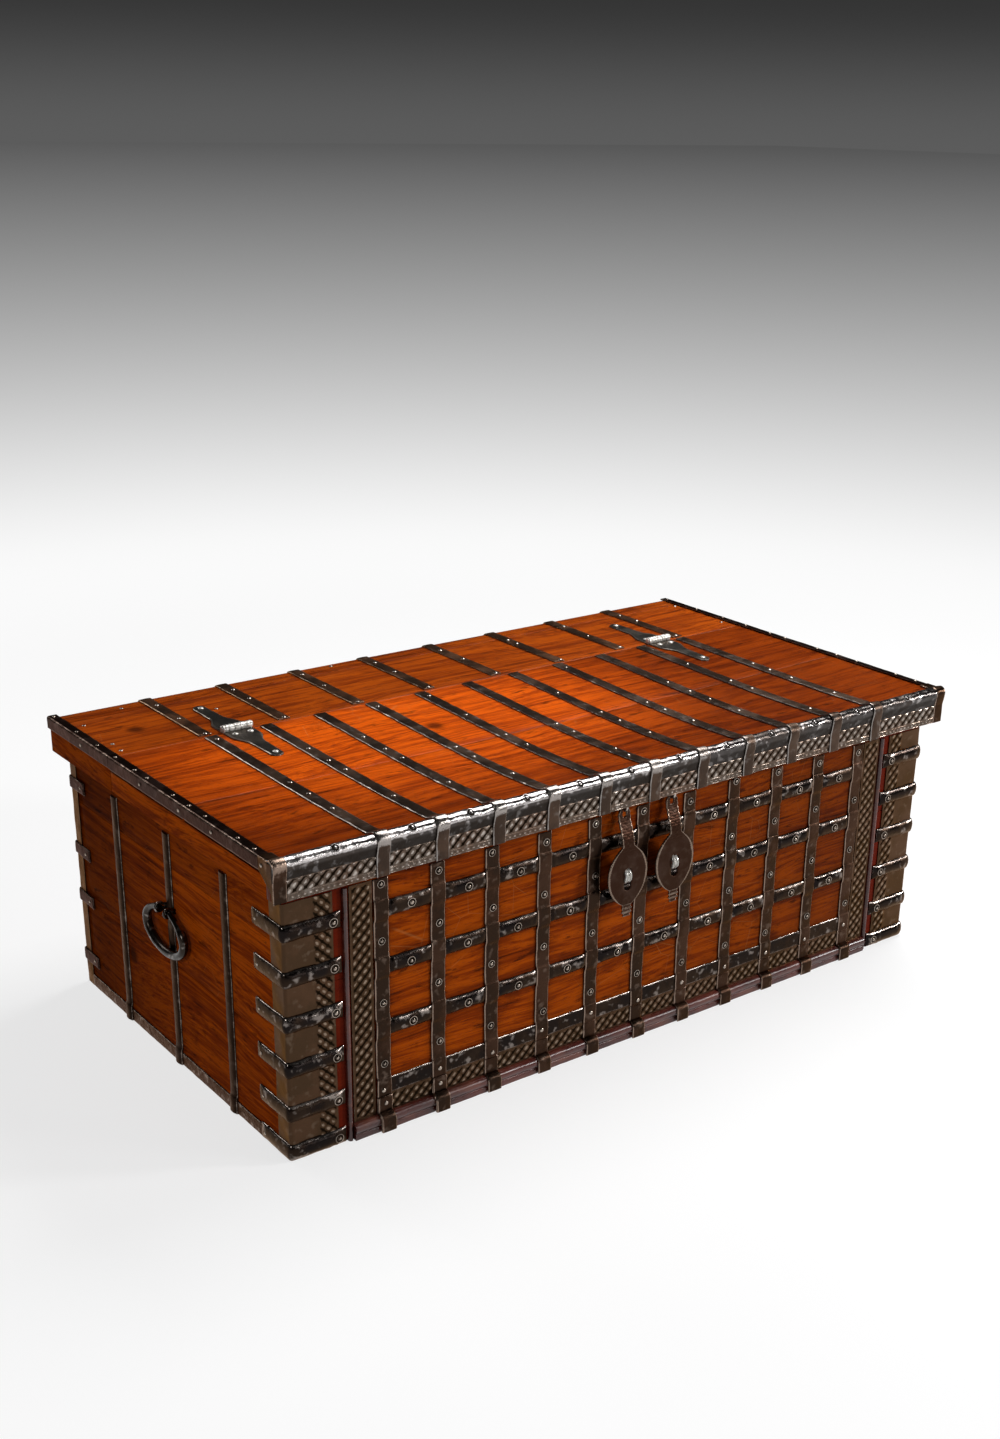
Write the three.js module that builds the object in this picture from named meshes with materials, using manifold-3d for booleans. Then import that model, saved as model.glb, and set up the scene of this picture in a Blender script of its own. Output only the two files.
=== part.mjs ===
// Iron-bound hardwood chest, in millimetres, +Z up, origin under the middle of its base.
// The front faces -Y and the length runs along X. The carcass is five boards. The rear part of
// the top is fixed to it, and the front part is a lid with rails round three sides, which turns
// on two strap hinges laid over the break. Wrought iron straps, sheet iron and nosings cover
// the wood: an iron lies a seat's width off the wood that carries it.

import * as THREE from 'three';
import { mergeVertices } from 'three/addons/utils/BufferGeometryUtils.js';
import Module from 'manifold-3d';

const wasm = await Module();
wasm.setup();

// Overall sizes, measured over the irons
const LENGTH = 1300;
const DEPTH = 715;
const HEIGHT = 467;

// Stock and fits
const WALL = 20;            // carcass boards
const BOTTOM = 18;          // bottom board
const TOP_BOARD = 18;       // boards of the lid and of the rear top
const IRON = 2.5;           // strap iron
const SHEET = 1.5;          // sheet iron under the straps
const SEAT = 0.3;           // gap between a piece and what it lies on
const RUN = 1.2;            // running gap round the lid
const WELD = 0.2;           // depth that forged or riveted irons share
const CUT = 5;              // how far a cutter passes the face it cuts

// How far the top stands past the carcass, and where it breaks
const SIDE_OVERHANG = 25;
const FRONT_OVERHANG = 26;
const BACK_OVERHANG = 18;
const RAIL_DROP = 58;       // from the top of the irons to the lower edge of the rails
const REAR_DEPTH = 222;     // fixed rear part of the top
const REAR_SLIP = 40;       // narrow board along the back edge
const LID_FRONT_BOARD = 250;
const EDGE_ROUND = 5;       // rounded front and back edges of the top boards
const DISH = 6.5;           // how far the middle of the old lid has sunk
const DISH_SKEW_SHARE = 1.5;

// Planes worked out from them
const lidEnd = LENGTH / 2;
const lidFront = -DEPTH / 2;
const lidBack = DEPTH / 2;
const strapLift = SHEET + 2 * SEAT;
const nosing = SHEET + SEAT + WELD;
const woodTop = HEIGHT - IRON - SEAT;
const woodEnd = lidEnd - IRON - SEAT;
const woodFront = lidFront + IRON + strapLift;
const woodBack = lidBack - IRON - SEAT;
const boardUnder = woodTop - TOP_BOARD;
const railBottom = HEIGHT - RAIL_DROP;
const bodyEnd = lidEnd - SIDE_OVERHANG;
const bodyFront = lidFront + FRONT_OVERHANG;
const bodyBack = lidBack - BACK_OVERHANG;
const breakY = lidBack - REAR_DEPTH;
const railInner = bodyFront - RUN;
const apronInner = bodyEnd + RUN;

// Tops of the irons on the carcass, under the lid's rails
const FIELD_GAP = 14;
const SIDE_STRAP_GAP = 25;
const fieldTop = railBottom - FIELD_GAP;

// Across the front from each end: corner plate, bare wood, upright moulding, lattice strip and
// the first of the upright straps, with the gaps between them
const CORNER_PLATE = 76;
const CORNER_WOOD = 15;
const STILE_WIDTH = 8;
const STILE_GAP = 3;
const LATTICE_WIDTH = 36;
const LATTICE_GAP = 2.5;
const STRAP_WIDTH = 24;
const STRAP_COUNT = 11;
const stileInset = CORNER_PLATE + CORNER_WOOD + STILE_WIDTH / 2;
const latticeInset = stileInset + STILE_WIDTH / 2 + STILE_GAP + LATTICE_WIDTH / 2;
const endBay = latticeInset + LATTICE_WIDTH / 2 + LATTICE_GAP + STRAP_WIDTH / 2;
const strapReach = bodyEnd - endBay;

const SIDES = [[-1, 'left'], [1, 'right']];

// Finishes
const finish = (color, roughness, metalness) =>
  new THREE.MeshStandardMaterial({ color, roughness, metalness });
const wood = finish(0x9c4a1c, 0.35, 0);
const redWood = finish(0x5e1f16, 0.3, 0);
const iron = finish(0x2b2422, 0.5, 0.8);
const embossed = finish(0x4d4238, 0.45, 0.8);
const blackIron = finish(0x1c2120, 0.45, 0.8);
const steel = finish(0xa8aaa5, 0.35, 0.9);

const chest = new THREE.Group();

function add(name, geometry, material, parent = chest) {
  const mesh = new THREE.Mesh(geometry, material);
  mesh.name = name;
  parent.add(mesh);
  return mesh;
}

// Solids: three.js shapes go in, joined or cut ones come out

function toSolid(geometry) {
  const bare = geometry.clone();
  bare.deleteAttribute('normal');
  bare.deleteAttribute('uv');
  const merged = mergeVertices(bare);
  return new wasm.Manifold(new wasm.Mesh({
    numProp: 3,
    vertProperties: Float32Array.from(merged.attributes.position.array),
    triVerts: Uint32Array.from(merged.index.array),
  }));
}

function toGeometry(solid) {
  const { vertProperties, triVerts } = solid.getMesh();
  const geometry = new THREE.BufferGeometry();
  geometry.setAttribute('position', new THREE.BufferAttribute(vertProperties, 3));
  geometry.setIndex(new THREE.BufferAttribute(triVerts, 1));
  geometry.computeVertexNormals();
  return geometry;
}

const joinSolids = (geometries) => geometries.map(toSolid).reduce((a, b) => a.add(b));
const join = (...geometries) => toGeometry(joinSolids(geometries));
const cut = (geometry, ...tools) => toGeometry(toSolid(geometry).subtract(joinSolids(tools)));

// A block between two planes on each axis; those on X come in either order
function box(x0, x1, y0, y1, z0, z1) {
  const geometry = new THREE.BoxGeometry(Math.abs(x1 - x0), y1 - y0, z1 - z0);
  return geometry.translate((x0 + x1) / 2, (y0 + y1) / 2, (z0 + z1) / 2);
}

const outline = (points) => new THREE.Shape(points.map(([a, b]) => new THREE.Vector2(a, b)));

// A profile drawn in (y, z) and carried along X
function alongX(shape, x0, x1, steps = 1) {
  const geometry = new THREE.ExtrudeGeometry(shape, {
    depth: x1 - x0, steps, bevelEnabled: false, curveSegments: 6,
  });
  const turn = new THREE.Matrix4().makeBasis(
    new THREE.Vector3(0, 1, 0), new THREE.Vector3(0, 0, 1), new THREE.Vector3(1, 0, 0));
  return geometry.applyMatrix4(turn).translate(x0, 0, 0);
}

// The same, carried through a row of stations along X
function alongStations(shape, stations) {
  const count = stations.length - 1;
  const geometry = alongX(shape, 0, count, count);
  const position = geometry.attributes.position;
  for (let i = 0; i < position.count; i++) {
    position.setX(i, stations[Math.round(position.getX(i))]);
  }
  return geometry;
}

// A bent strip of iron: an inner and an outer line of as many points in (y, z), carried through
// stations along X. Each stretch of it is a block of four walls.
function strip(inner, outer, stations) {
  const count = inner.length;
  const ring = 2 * count;
  const section = [...inner, ...outer.toReversed()];
  const positions = stations.flatMap((x) => section.flatMap(([y, z]) => [x, y, z]));
  const index = [];
  const quad = (a, b, c, d) => index.push(a, b, c, a, c, d);
  for (let s = 0; s < stations.length - 1; s++) {
    for (let i = 0; i < ring; i++) {
      const [p, q] = [s * ring + i, s * ring + (i + 1) % ring];
      quad(p, q, q + ring, p + ring);
    }
  }
  const last = (stations.length - 1) * ring;
  for (let i = 0; i < count - 1; i++) {
    const [p, q, r, t] = [i, i + 1, ring - 2 - i, ring - 1 - i];
    quad(t, r, q, p);
    quad(last + p, last + q, last + r, last + t);
  }
  const turned = THREE.ShapeUtils.area(section.map(([a, b]) => new THREE.Vector2(a, b))) < 0;
  const geometry = new THREE.BufferGeometry();
  geometry.setAttribute('position', new THREE.Float32BufferAttribute(positions, 3));
  geometry.setIndex(turned ? index.reverse() : index);
  geometry.computeVertexNormals();
  return geometry;
}

// An outline drawn in (x, z) and carried through the depth from y0 to y1
function alongY(shape, y0, y1) {
  const geometry = new THREE.ExtrudeGeometry(shape, {
    depth: y1 - y0, bevelEnabled: false, curveSegments: 8,
  });
  return geometry.rotateX(Math.PI / 2).translate(0, y1, 0);
}

// An outline drawn in (x, y) and carried up from z0 to z1
function alongZ(shape, z0, z1) {
  const geometry = new THREE.ExtrudeGeometry(shape, {
    depth: z1 - z0, bevelEnabled: false, curveSegments: 6,
  });
  return geometry.translate(0, 0, z0);
}

// Points on an arc, from one angle to another in degrees
function arc(a, b, radius, from, to, steps = 4) {
  return Array.from({ length: steps + 1 }, (_, i) => {
    const angle = THREE.MathUtils.degToRad(from + (to - from) * i / steps);
    return [a + radius * Math.cos(angle), b + radius * Math.sin(angle)];
  });
}

// A bar bent in one plane: rings of the radius at each share of the way, square to the path
function bentBar(path, planeNormal, radiusAt, sides = 8) {
  const count = path.length;
  const positions = [];
  path.forEach((point, i) => {
    const ahead = path[Math.min(i + 1, count - 1)];
    const behind = path[Math.max(i - 1, 0)];
    const tangent = ahead.clone().sub(behind).normalize();
    const across = tangent.clone().cross(planeNormal);
    for (let k = 0; k < sides; k++) {
      const angle = 2 * Math.PI * k / sides;
      const radius = radiusAt(i / (count - 1));
      positions.push(...point.clone()
        .addScaledVector(planeNormal, radius * Math.cos(angle))
        .addScaledVector(across, radius * Math.sin(angle)));
    }
  });
  const index = [];
  for (let i = 0; i < count - 1; i++) {
    for (let k = 0; k < sides; k++) {
      const a = i * sides + k;
      const b = i * sides + (k + 1) % sides;
      index.push(a, b, a + sides, b, b + sides, a + sides);
    }
  }
  for (let k = 1; k < sides - 1; k++) {
    const last = (count - 1) * sides;
    index.push(0, k + 1, k, last, last + k, last + k + 1);
  }
  const geometry = new THREE.BufferGeometry();
  geometry.setAttribute('position', new THREE.Float32BufferAttribute(positions, 3));
  geometry.setIndex(index);
  geometry.computeVertexNormals();
  return geometry;
}

// Evenly spaced places for a row of straps, first and last at the given distance from the middle
const spread = (count, reach) =>
  Array.from({ length: count }, (_, i) => reach * (2 * i / (count - 1) - 1));

// The lid's boards have sunk in their middle, and what is nailed to them follows. The sunk field
// stops at the side walls, at the hinges' barrels and at the front edge.
const BARREL_RADIUS = 6.2;
const dishStart = breakY - 2 * BARREL_RADIUS;
const dishHalf = bodyEnd - WALL;

function dishAt(x, y) {
  const across = 1 - (x / dishHalf) ** 2;
  const share = (dishStart - y) / (dishStart - woodFront);
  if (across <= 0 || share <= 0 || share >= 1) return 0;
  const skewed = share ** DISH_SKEW_SHARE;
  return DISH * across * 4 * skewed * (1 - skewed);
}

function dished(geometry, fromZ = 0) {
  const position = geometry.attributes.position;
  for (let i = 0; i < position.count; i++) {
    const z = position.getZ(i);
    if (z > fromZ) position.setZ(i, z - dishAt(position.getX(i), position.getY(i)));
  }
  geometry.computeVertexNormals();
  return geometry;
}

// Carcass: front and back boards run the full length, the ends and the bottom fit between them.
// The front board is lower, clear of the sunken lid. Mortises take the shanks of the ironmongery.

const STAPLE_WIDTH = 12;
const STAPLE_IRON = 4;
const STAPLE_HEIGHT = 26;
const SHANK = 13;           // how deep staples, eyes and loops are driven
const STAPLE_RAISE = 4;     // staples stand this far above the middle of the hasp's slot
const LOOP_DROP = 3;        // middle of the loop that a hasp hangs in, under the rail
const HASP_IRON = 3;
const HASP_LENGTH = 175;    // from the middle of its loop to its tip
const HASP_HALF = 37;
const HASP_GAP = 20.5;      // between the two hasps
const HASP_PLACE_SHARES = {
  bend: 0.137, bendEnd: 0.263, shoulder: 0.366, widest: 0.583, slot: 0.651, tip: 0.897,
};
const haspX = HASP_HALF + HASP_GAP / 2;
const hangZ = railBottom - LOOP_DROP;
const slotDrop = HASP_LENGTH * HASP_PLACE_SHARES.slot;
const stapleZ = hangZ - slotDrop + STAPLE_RAISE;

const wallTop = boardUnder - SEAT;
const frontWallTop = wallTop - dishAt(0, bodyFront + WALL);

// Cutters for the staples' legs, through the front board and any strap that lies there
const stapleMortises = () => SIDES.flatMap(([side]) => [-1, 1].map((end) => {
  const x = side * haspX;
  const half = STAPLE_WIDTH / 2 + SEAT;
  const z = stapleZ + end * (STAPLE_HEIGHT - STAPLE_IRON) / 2;
  const high = STAPLE_IRON / 2 + SEAT;
  return box(x - half, x + half, bodyFront - CUT, bodyFront + SHANK + SEAT, z - high, z + high);
}));

const frontPanel = () => cut(
  box(-bodyEnd, bodyEnd, bodyFront, bodyFront + WALL, 0, frontWallTop), ...stapleMortises());

const SIDE_STRAP_WIDTH = 21;
const EYE_ROD = 2.2;        // radius of the rod that a bail's eye is bent from
const EYE_GAP = 1.3;        // between an eye and the strap that the bail hangs over
const BAIL_PIVOT_DROP = 205;    // a bail's pivot under the top of the irons
const eyePlace = SIDE_STRAP_WIDTH / 2 + EYE_GAP + EYE_ROD;
const eyeLegs = EYE_ROD + SEAT;
const bailZ = HEIGHT - BAIL_PIVOT_DROP;
const bailY = (bodyFront + bodyBack) / 2;

function endPanel(side) {
  const inner = bodyEnd - WALL;
  const board = box(side * inner, side * bodyEnd,
    bodyFront + WALL + SEAT, bodyBack - WALL - SEAT, 0, wallTop);
  const mortises = [-1, 1].map((end) => {
    const y = bailY + end * eyePlace;
    const wide = EYE_ROD + SEAT;
    const high = eyeLegs + EYE_ROD + SEAT;
    return box(side * (bodyEnd + CUT), side * (bodyEnd - SHANK - SEAT),
      y - wide, y + wide, bailZ - high, bailZ + high);
  });
  return cut(board, ...mortises);
}

add('front_panel', frontPanel(), wood);
add('back_panel', box(-bodyEnd, bodyEnd, bodyBack - WALL, bodyBack, 0, wallTop), wood);
for (const [side, name] of SIDES) add(`${name}_panel`, endPanel(side), wood);
add('bottom_panel', box(
  -bodyEnd + WALL + SEAT, bodyEnd - WALL - SEAT,
  bodyFront + WALL + SEAT, bodyBack - WALL - SEAT, 0, BOTTOM), wood);

// Base moulding: a half-round bead over a flat plinth, between the two upright mouldings
const BEAD = 8.5;
const BEAD_BACKING = 3;
const PLINTH = 9;
const PLINTH_HEIGHT = 8;
const BEAD_Z = 17.5;
const STILE_BACKING = 1.5;  // flat sides under an upright moulding's round crown
const mouldingFace = bodyFront - SEAT;
const mouldingTop = BEAD_Z + BEAD;

function baseMoulding() {
  const bead = arc(mouldingFace - BEAD_BACKING, BEAD_Z, BEAD, 90, 235, 8);
  const shape = outline([[mouldingFace, 0], [mouldingFace, mouldingTop], ...bead,
    [mouldingFace - PLINTH, PLINTH_HEIGHT], [mouldingFace - PLINTH, 0]]);
  const end = bodyEnd - stileInset - STILE_WIDTH / 2 - SEAT;
  return alongX(shape, -end, end);
}

// Crown of a half-round bar in (across, out) of the face that carries it
function crown(width, rise, steps = 6) {
  const radius = (width ** 2 / 4 + rise ** 2) / (2 * rise);
  const half = THREE.MathUtils.radToDeg(Math.asin(width / 2 / radius));
  return arc(0, rise - radius, radius, 90 + half, 90 - half, steps);
}

function stileMoulding(side) {
  const x = side * (bodyEnd - stileInset);
  const half = STILE_WIDTH / 2;
  const round = crown(STILE_WIDTH, half).map(([across, out]) => [across, out + STILE_BACKING]);
  const section = [[-half, 0], ...round, [half, 0]]
    .map(([across, out]) => [x + across, mouldingFace - out]);
  return alongZ(outline(section), 0, fieldTop);
}

add('base_moulding', baseMoulding(), redWood);
for (const [side, name] of SIDES) add(`${name}_stile_moulding`, stileMoulding(side), redWood);

// Fixed rear part of the top: two boards, two aprons and a rail along the back

// Section of a top board, with points at even stations so that it can follow the dish
function boardShape(y0, y1, roundFront, roundBack, stations = 6) {
  const r = EDGE_ROUND;
  const top = [];
  if (roundFront) top.push(...arc(y0 + r, woodTop - r, r, 180, 90));
  else top.push([y0, woodTop]);
  const from = roundFront ? y0 + r : y0;
  const to = roundBack ? y1 - r : y1;
  for (let i = 1; i < stations; i++) top.push([from + (to - from) * i / stations, woodTop]);
  if (roundBack) top.push(...arc(y1 - r, woodTop - r, r, 90, 0));
  else top.push([y1, woodTop]);
  const under = Array.from({ length: stations + 1 }, (_, i) =>
    [y1 + (y0 - y1) * i / stations, boardUnder]);
  return outline([...top, ...under]);
}

const slipSeam = woodBack - REAR_SLIP;
add('rear_top_board', alongX(
  boardShape(breakY + RUN / 2, slipSeam - SEAT / 2, false, false, 1), -woodEnd, woodEnd), wood);
add('rear_slip_board', alongX(
  boardShape(slipSeam + SEAT / 2, woodBack, false, true, 1), -woodEnd, woodEnd), wood);

for (const [side, name] of SIDES) {
  add(`rear_${name}_apron`, box(side * apronInner, side * woodEnd,
    breakY + RUN / 2, woodBack, railBottom, boardUnder - SEAT), wood);
}
const rearRailEnd = apronInner - SEAT;
add('rear_rail', box(
  -rearRailEnd, rearRailEnd, bodyBack + SEAT, woodBack, railBottom, boardUnder - SEAT), wood);

// Lid: two boards over a front rail and two aprons

const lid = new THREE.Group();
chest.add(lid);

const LID_END_BAY = 168;    // lid end to the middle of the outermost lid strap
const lastStrap = lidEnd - LID_END_BAY;
const lidStrapPlaces = spread(STRAP_COUNT, lastStrap);
const pastStraps = [(lastStrap + dishHalf) / 2, dishHalf, woodEnd];
const lidStations = [...pastStraps.map((x) => -x).reverse(), ...lidStrapPlaces, ...pastStraps];
const lidSeam = woodFront + LID_FRONT_BOARD;
const lidRear = breakY - RUN / 2;

add('lid_front_board', dished(alongStations(
  boardShape(woodFront, lidSeam - SEAT / 2, true, false), lidStations)), wood, lid);
add('lid_rear_board', dished(alongStations(
  boardShape(lidSeam + SEAT / 2, lidRear, false, false), lidStations)), wood, lid);

// Where a hasp hangs: a loop under the rail, with the hasp's eye round its bar
const LOOP_ROD = 1.6;
const LOOP_RADIUS = 5;      // inside the loop
const hangY = (woodFront + railInner) / 2;
const loopBend = LOOP_RADIUS + LOOP_ROD;

function lidRail() {
  const shape = outline([[woodFront, railBottom], [railInner, railBottom],
    [railInner, boardUnder - SEAT], [woodFront, boardUnder - SEAT]]);
  const rail = alongStations(shape, lidStations);
  const holes = SIDES.flatMap(([side]) => [-1, 1].map((end) => {
    const hole = new THREE.CylinderGeometry(
      LOOP_ROD + SEAT, LOOP_ROD + SEAT, SHANK + CUT, 8);
    return hole.rotateX(Math.PI / 2)
      .translate(side * haspX, hangY + end * loopBend, railBottom + (SHANK + SEAT - CUT) / 2);
  }));
  return cut(dished(rail, railBottom), ...holes);
}

add('lid_front_rail', lidRail(), wood, lid);
for (const [side, name] of SIDES) {
  add(`lid_${name}_apron`, box(side * apronInner, side * woodEnd,
    railInner + SEAT, lidRear, railBottom, boardUnder - SEAT), wood, lid);
}

// Front straps: four level straps, and eleven upright ones that step out over them, over the
// lattice band and over the base moulding. They are riveted where they cross, so they are one
// lattice of iron.

const ROW_WIDTH = 25;
const JOGGLE = 5;           // length of a step in a strap
const FOOT_CLEAR = 1;       // irons stop this far above the floor
const ROW_SHARES = [0.838, 0.609, 0.356, 0.11];
const bandTop = mouldingTop + ROW_SHARES[3] * (railBottom - mouldingTop) - ROW_WIDTH / 2 - SEAT;
const lapTop = bandTop - RUN;   // top of the repair laps on the first two upright straps

// Line of an upright strap in (out from the wood, z), from its top down, at a distance from what
// it lies on
function strapLine(lift, top) {
  const over = IRON - WELD;
  const points = [];
  for (const share of ROW_SHARES) {
    const z = mouldingTop + share * (railBottom - mouldingTop);
    const half = ROW_WIDTH / 2;
    points.push([0, z + half + JOGGLE], [over, z + half], [over, z - half], [0, z - half - JOGGLE]);
  }
  const overBand = SHEET + SEAT;
  points.splice(-1, 1, [overBand, bandTop]);
  const start = [top > bandTop + JOGGLE ? 0 : overBand, top];
  const line = [start, ...points.filter(([, z]) => z < top)]
    .map(([out, z]) => [out + SEAT + lift, z]);
  const bead = BEAD + SEAT + lift;
  const meet = Math.acos((overBand + lift - BEAD_BACKING) / bead);
  return [...line, ...arc(BEAD_BACKING + SEAT, BEAD_Z, bead, THREE.MathUtils.radToDeg(meet), 0),
    [BEAD_BACKING + SEAT + bead, FOOT_CLEAR]];
}

function uprightStrap(x, width, inner, outer, top) {
  const line = (lift) => strapLine(lift, top).map(([out, z]) => [bodyFront - out, z]);
  return strip(line(inner), line(outer), [x - width / 2, x + width / 2]);
}

function frontStraps() {
  const uprights = spread(STRAP_COUNT, strapReach);
  const straps = uprights.map((x) => uprightStrap(x, STRAP_WIDTH, 0, IRON, fieldTop));
  const rowEnd = strapReach + STRAP_WIDTH / 3;
  const face = bodyFront - SEAT;
  const rows = ROW_SHARES.map((share) => {
    const z = mouldingTop + share * (railBottom - mouldingTop);
    return box(-rowEnd, rowEnd, face - IRON, face, z - ROW_WIDTH / 2, z + ROW_WIDTH / 2);
  });
  const laps = uprights.slice(0, 2).map((x) =>
    uprightStrap(x, STRAP_WIDTH - 2 * SEAT, IRON - WELD, 2 * IRON, lapTop));
  return cut(join(...rows, ...straps, ...laps), ...stapleMortises());
}

add('front_straps', frontStraps(), iron);

// Lattice strips: sheet iron beside the outermost straps, and a band between base and last row

for (const [side, name] of SIDES) {
  const x = side * (bodyEnd - latticeInset);
  add(`${name}_lattice_strip`, box(
    x - LATTICE_WIDTH / 2, x + LATTICE_WIDTH / 2,
    bodyFront - SEAT - SHEET, bodyFront - SEAT, mouldingTop + SEAT, fieldTop), embossed);
}
const bandEnd = strapReach + STRAP_WIDTH / 2;
add('lattice_band', box(
  -bandEnd, bandEnd, bodyFront - SEAT - SHEET, bodyFront - SEAT,
  mouldingTop + SEAT, bandTop), embossed);

// Corner bindings: an angle of sheet iron up the corner, under straps bent round it

// Legs of the plate and of the straps along X and Y, and the straps' width
const CORNER_STRAP_LAP = 11;    // a front strap reaches this far past its plate
const cornerStrapX = CORNER_PLATE + CORNER_STRAP_LAP;
const FRONT_CORNER = { x: CORNER_PLATE, y: 32, strapX: cornerStrapX, strapY: 78, strap: 25 };
const BACK_CORNER = { x: 30, y: 22, strapX: 52, strapY: 52, strap: 20 };
const FRONT_CORNER_SHARES = [0.036, 0.192, 0.367, 0.544, 0.717, 0.891];
const BACK_CORNER_SHARES = [0.134, 0.408, 0.62, 0.909];

// An angle in (x, y): legs along both faces of a corner, between two distances from the wood
function angleIron(side, end, legX, legY, inner, outer, z0, z1) {
  const cornerX = side * bodyEnd;
  const cornerY = end < 0 ? bodyFront : bodyBack;
  const at = (dx, dy) => [cornerX + side * dx, cornerY + end * dy];
  return alongZ(outline([
    at(outer, outer), at(-legX, outer), at(-legX, inner),
    at(inner, inner), at(inner, -legY), at(outer, -legY)]), z0, z1);
}

function cornerBinding(side, end, size, shares) {
  const plate = angleIron(side, end, size.x, size.y, SEAT, SEAT + SHEET, FOOT_CLEAR, fieldTop);
  const under = SEAT + SHEET - WELD;
  const straps = shares.map((share) => {
    const z = share * fieldTop;
    return angleIron(side, end, size.strapX, size.strapY, under, under + IRON,
      z - size.strap / 2, z + size.strap / 2);
  });
  return join(plate, ...straps);
}

for (const [side, name] of SIDES) {
  add(`front_${name}_corner`,
    cornerBinding(side, -1, FRONT_CORNER, FRONT_CORNER_SHARES), iron);
  add(`back_${name}_corner`,
    cornerBinding(side, 1, BACK_CORNER, BACK_CORNER_SHARES), iron);
}

// End bindings: three half-round uprights that step out over an iron strip along the base

const SIDE_STRAP_RISE = 4.5;
const SIDE_STRAP_PITCH = 174;
const BASE_STRIP = 22;

function endBinding(side) {
  const face = side * (bodyEnd + SEAT);
  const upright = (y, out, z0, z1) => {
    const section = crown(SIDE_STRAP_WIDTH, SIDE_STRAP_RISE)
      .map(([across, rise]) => [face + side * (out + rise), y + across]);
    return alongZ(outline(section), z0, z1);
  };
  const foot = box(face, face + side * IRON, bodyFront + FRONT_CORNER.strapY + RUN,
    bodyBack - BACK_CORNER.y - RUN, FOOT_CLEAR, BASE_STRIP);
  const uprights = [-1, 0, 1].flatMap((k) => {
    const y = bailY + k * SIDE_STRAP_PITCH;
    return [upright(y, 0, BASE_STRIP - IRON, railBottom - SIDE_STRAP_GAP),
      upright(y, IRON - WELD, FOOT_CLEAR, BASE_STRIP + IRON)];
  });
  return join(foot, ...uprights);
}

for (const [side, name] of SIDES) add(`${name}_end_binding`, endBinding(side), iron);

// Rear straps: over the rear boards, round the back edge and down the rear rail

const TOP_STRAP_WIDTH = 21;
const REAR_STRAP_COUNT = 8;
const REAR_STRAP_GAP = 16;  // from a hinge to the outermost rear strap
const STRAP_START = 5;      // straps stop this far from the break
const LEAF_ROOT = 25;       // half width of a hinge at its barrel
const hingeX = (lidStrapPlaces.at(-1) + lidStrapPlaces.at(-2)) / 2;
const rearReach = hingeX + LEAF_ROOT + REAR_STRAP_GAP + TOP_STRAP_WIDTH / 2;

function rearStrap() {
  const line = (lift) => [[breakY + STRAP_START, woodTop + lift],
    ...arc(woodBack - EDGE_ROUND, woodTop - EDGE_ROUND, EDGE_ROUND + lift, 90, 0),
    [woodBack + lift, railBottom]];
  return strip(line(SEAT), line(SEAT + IRON), [-TOP_STRAP_WIDTH / 2, TOP_STRAP_WIDTH / 2]);
}

spread(REAR_STRAP_COUNT, rearReach).forEach((x, i) => {
  add(`rear_strap_${i + 1}`, rearStrap(), iron).position.x = x;
});

// Edge irons: an angle along each end of the top, in two lengths that part at the break

const EDGE_TOP = 16;
const EDGE_SIDE = 19;
const CAP_FRONT = 21;       // corner cap, leg across the front
const CAP_SIDE = 34;        // corner cap, leg back along the side
const CAP_DROP = 46;

function edgeIron(side, y0, y1) {
  const shape = outline([
    [side * lidEnd, HEIGHT], [side * (lidEnd - EDGE_TOP), HEIGHT],
    [side * (lidEnd - EDGE_TOP), HEIGHT - IRON], [side * (woodEnd + SEAT), HEIGHT - IRON],
    [side * (woodEnd + SEAT), HEIGHT - EDGE_SIDE], [side * lidEnd, HEIGHT - EDGE_SIDE]]);
  return alongY(shape, y0, y1);
}

for (const [side, name] of SIDES) {
  add(`rear_${name}_edge_iron`, edgeIron(side, breakY + RUN / 2, lidBack), iron);
  add(`lid_${name}_edge_iron`,
    edgeIron(side, woodFront + CAP_SIDE + SEAT, lidRear), iron, lid);
}

// Lid binding: the rounded nosing, its corner caps and eleven straps that run from the break
// over the nosing and down the front. The straps are riveted to the nosing.

const NOSING_TOP = 14;      // nosing's leg on the boards
const NOSING_DROP = 27;     // nosing's lower edge under the top of the irons
const edgeY = woodFront + EDGE_ROUND;
const edgeZ = woodTop - EDGE_ROUND;
const nosingBottom = HEIGHT - NOSING_DROP;
const lidStrapBottom = railBottom - SEAT;

// Line of an iron bent over the lid's front edge, at a distance from the wood
const overEdge = (lift, bottom, top) => [[woodFront - lift, bottom],
  ...arc(edgeY, edgeZ, EDGE_ROUND + lift, 180, 90), ...top.map((y) => [y, woodTop + lift])];

function nosingBar() {
  const line = (lift) => overEdge(lift, nosingBottom, [woodFront + NOSING_TOP]);
  return dished(strip(line(SEAT), line(SEAT + nosing), lidStations), edgeZ);
}

function cornerCap(side) {
  const span = (a, b) => [side * a, side * b].sort((p, q) => p - q);
  const back = woodFront + CAP_SIDE;
  const line = (lift) => overEdge(lift, lidStrapBottom, [back]);
  const outer = line(SEAT + IRON);
  return [
    strip(line(SEAT), outer, span(lidEnd - CAP_FRONT, lidEnd)),
    alongX(outline([...outer, [back, HEIGHT - EDGE_SIDE], [woodFront, HEIGHT - CAP_DROP]]),
      ...span(woodEnd + SEAT, lidEnd)),
  ];
}

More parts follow.
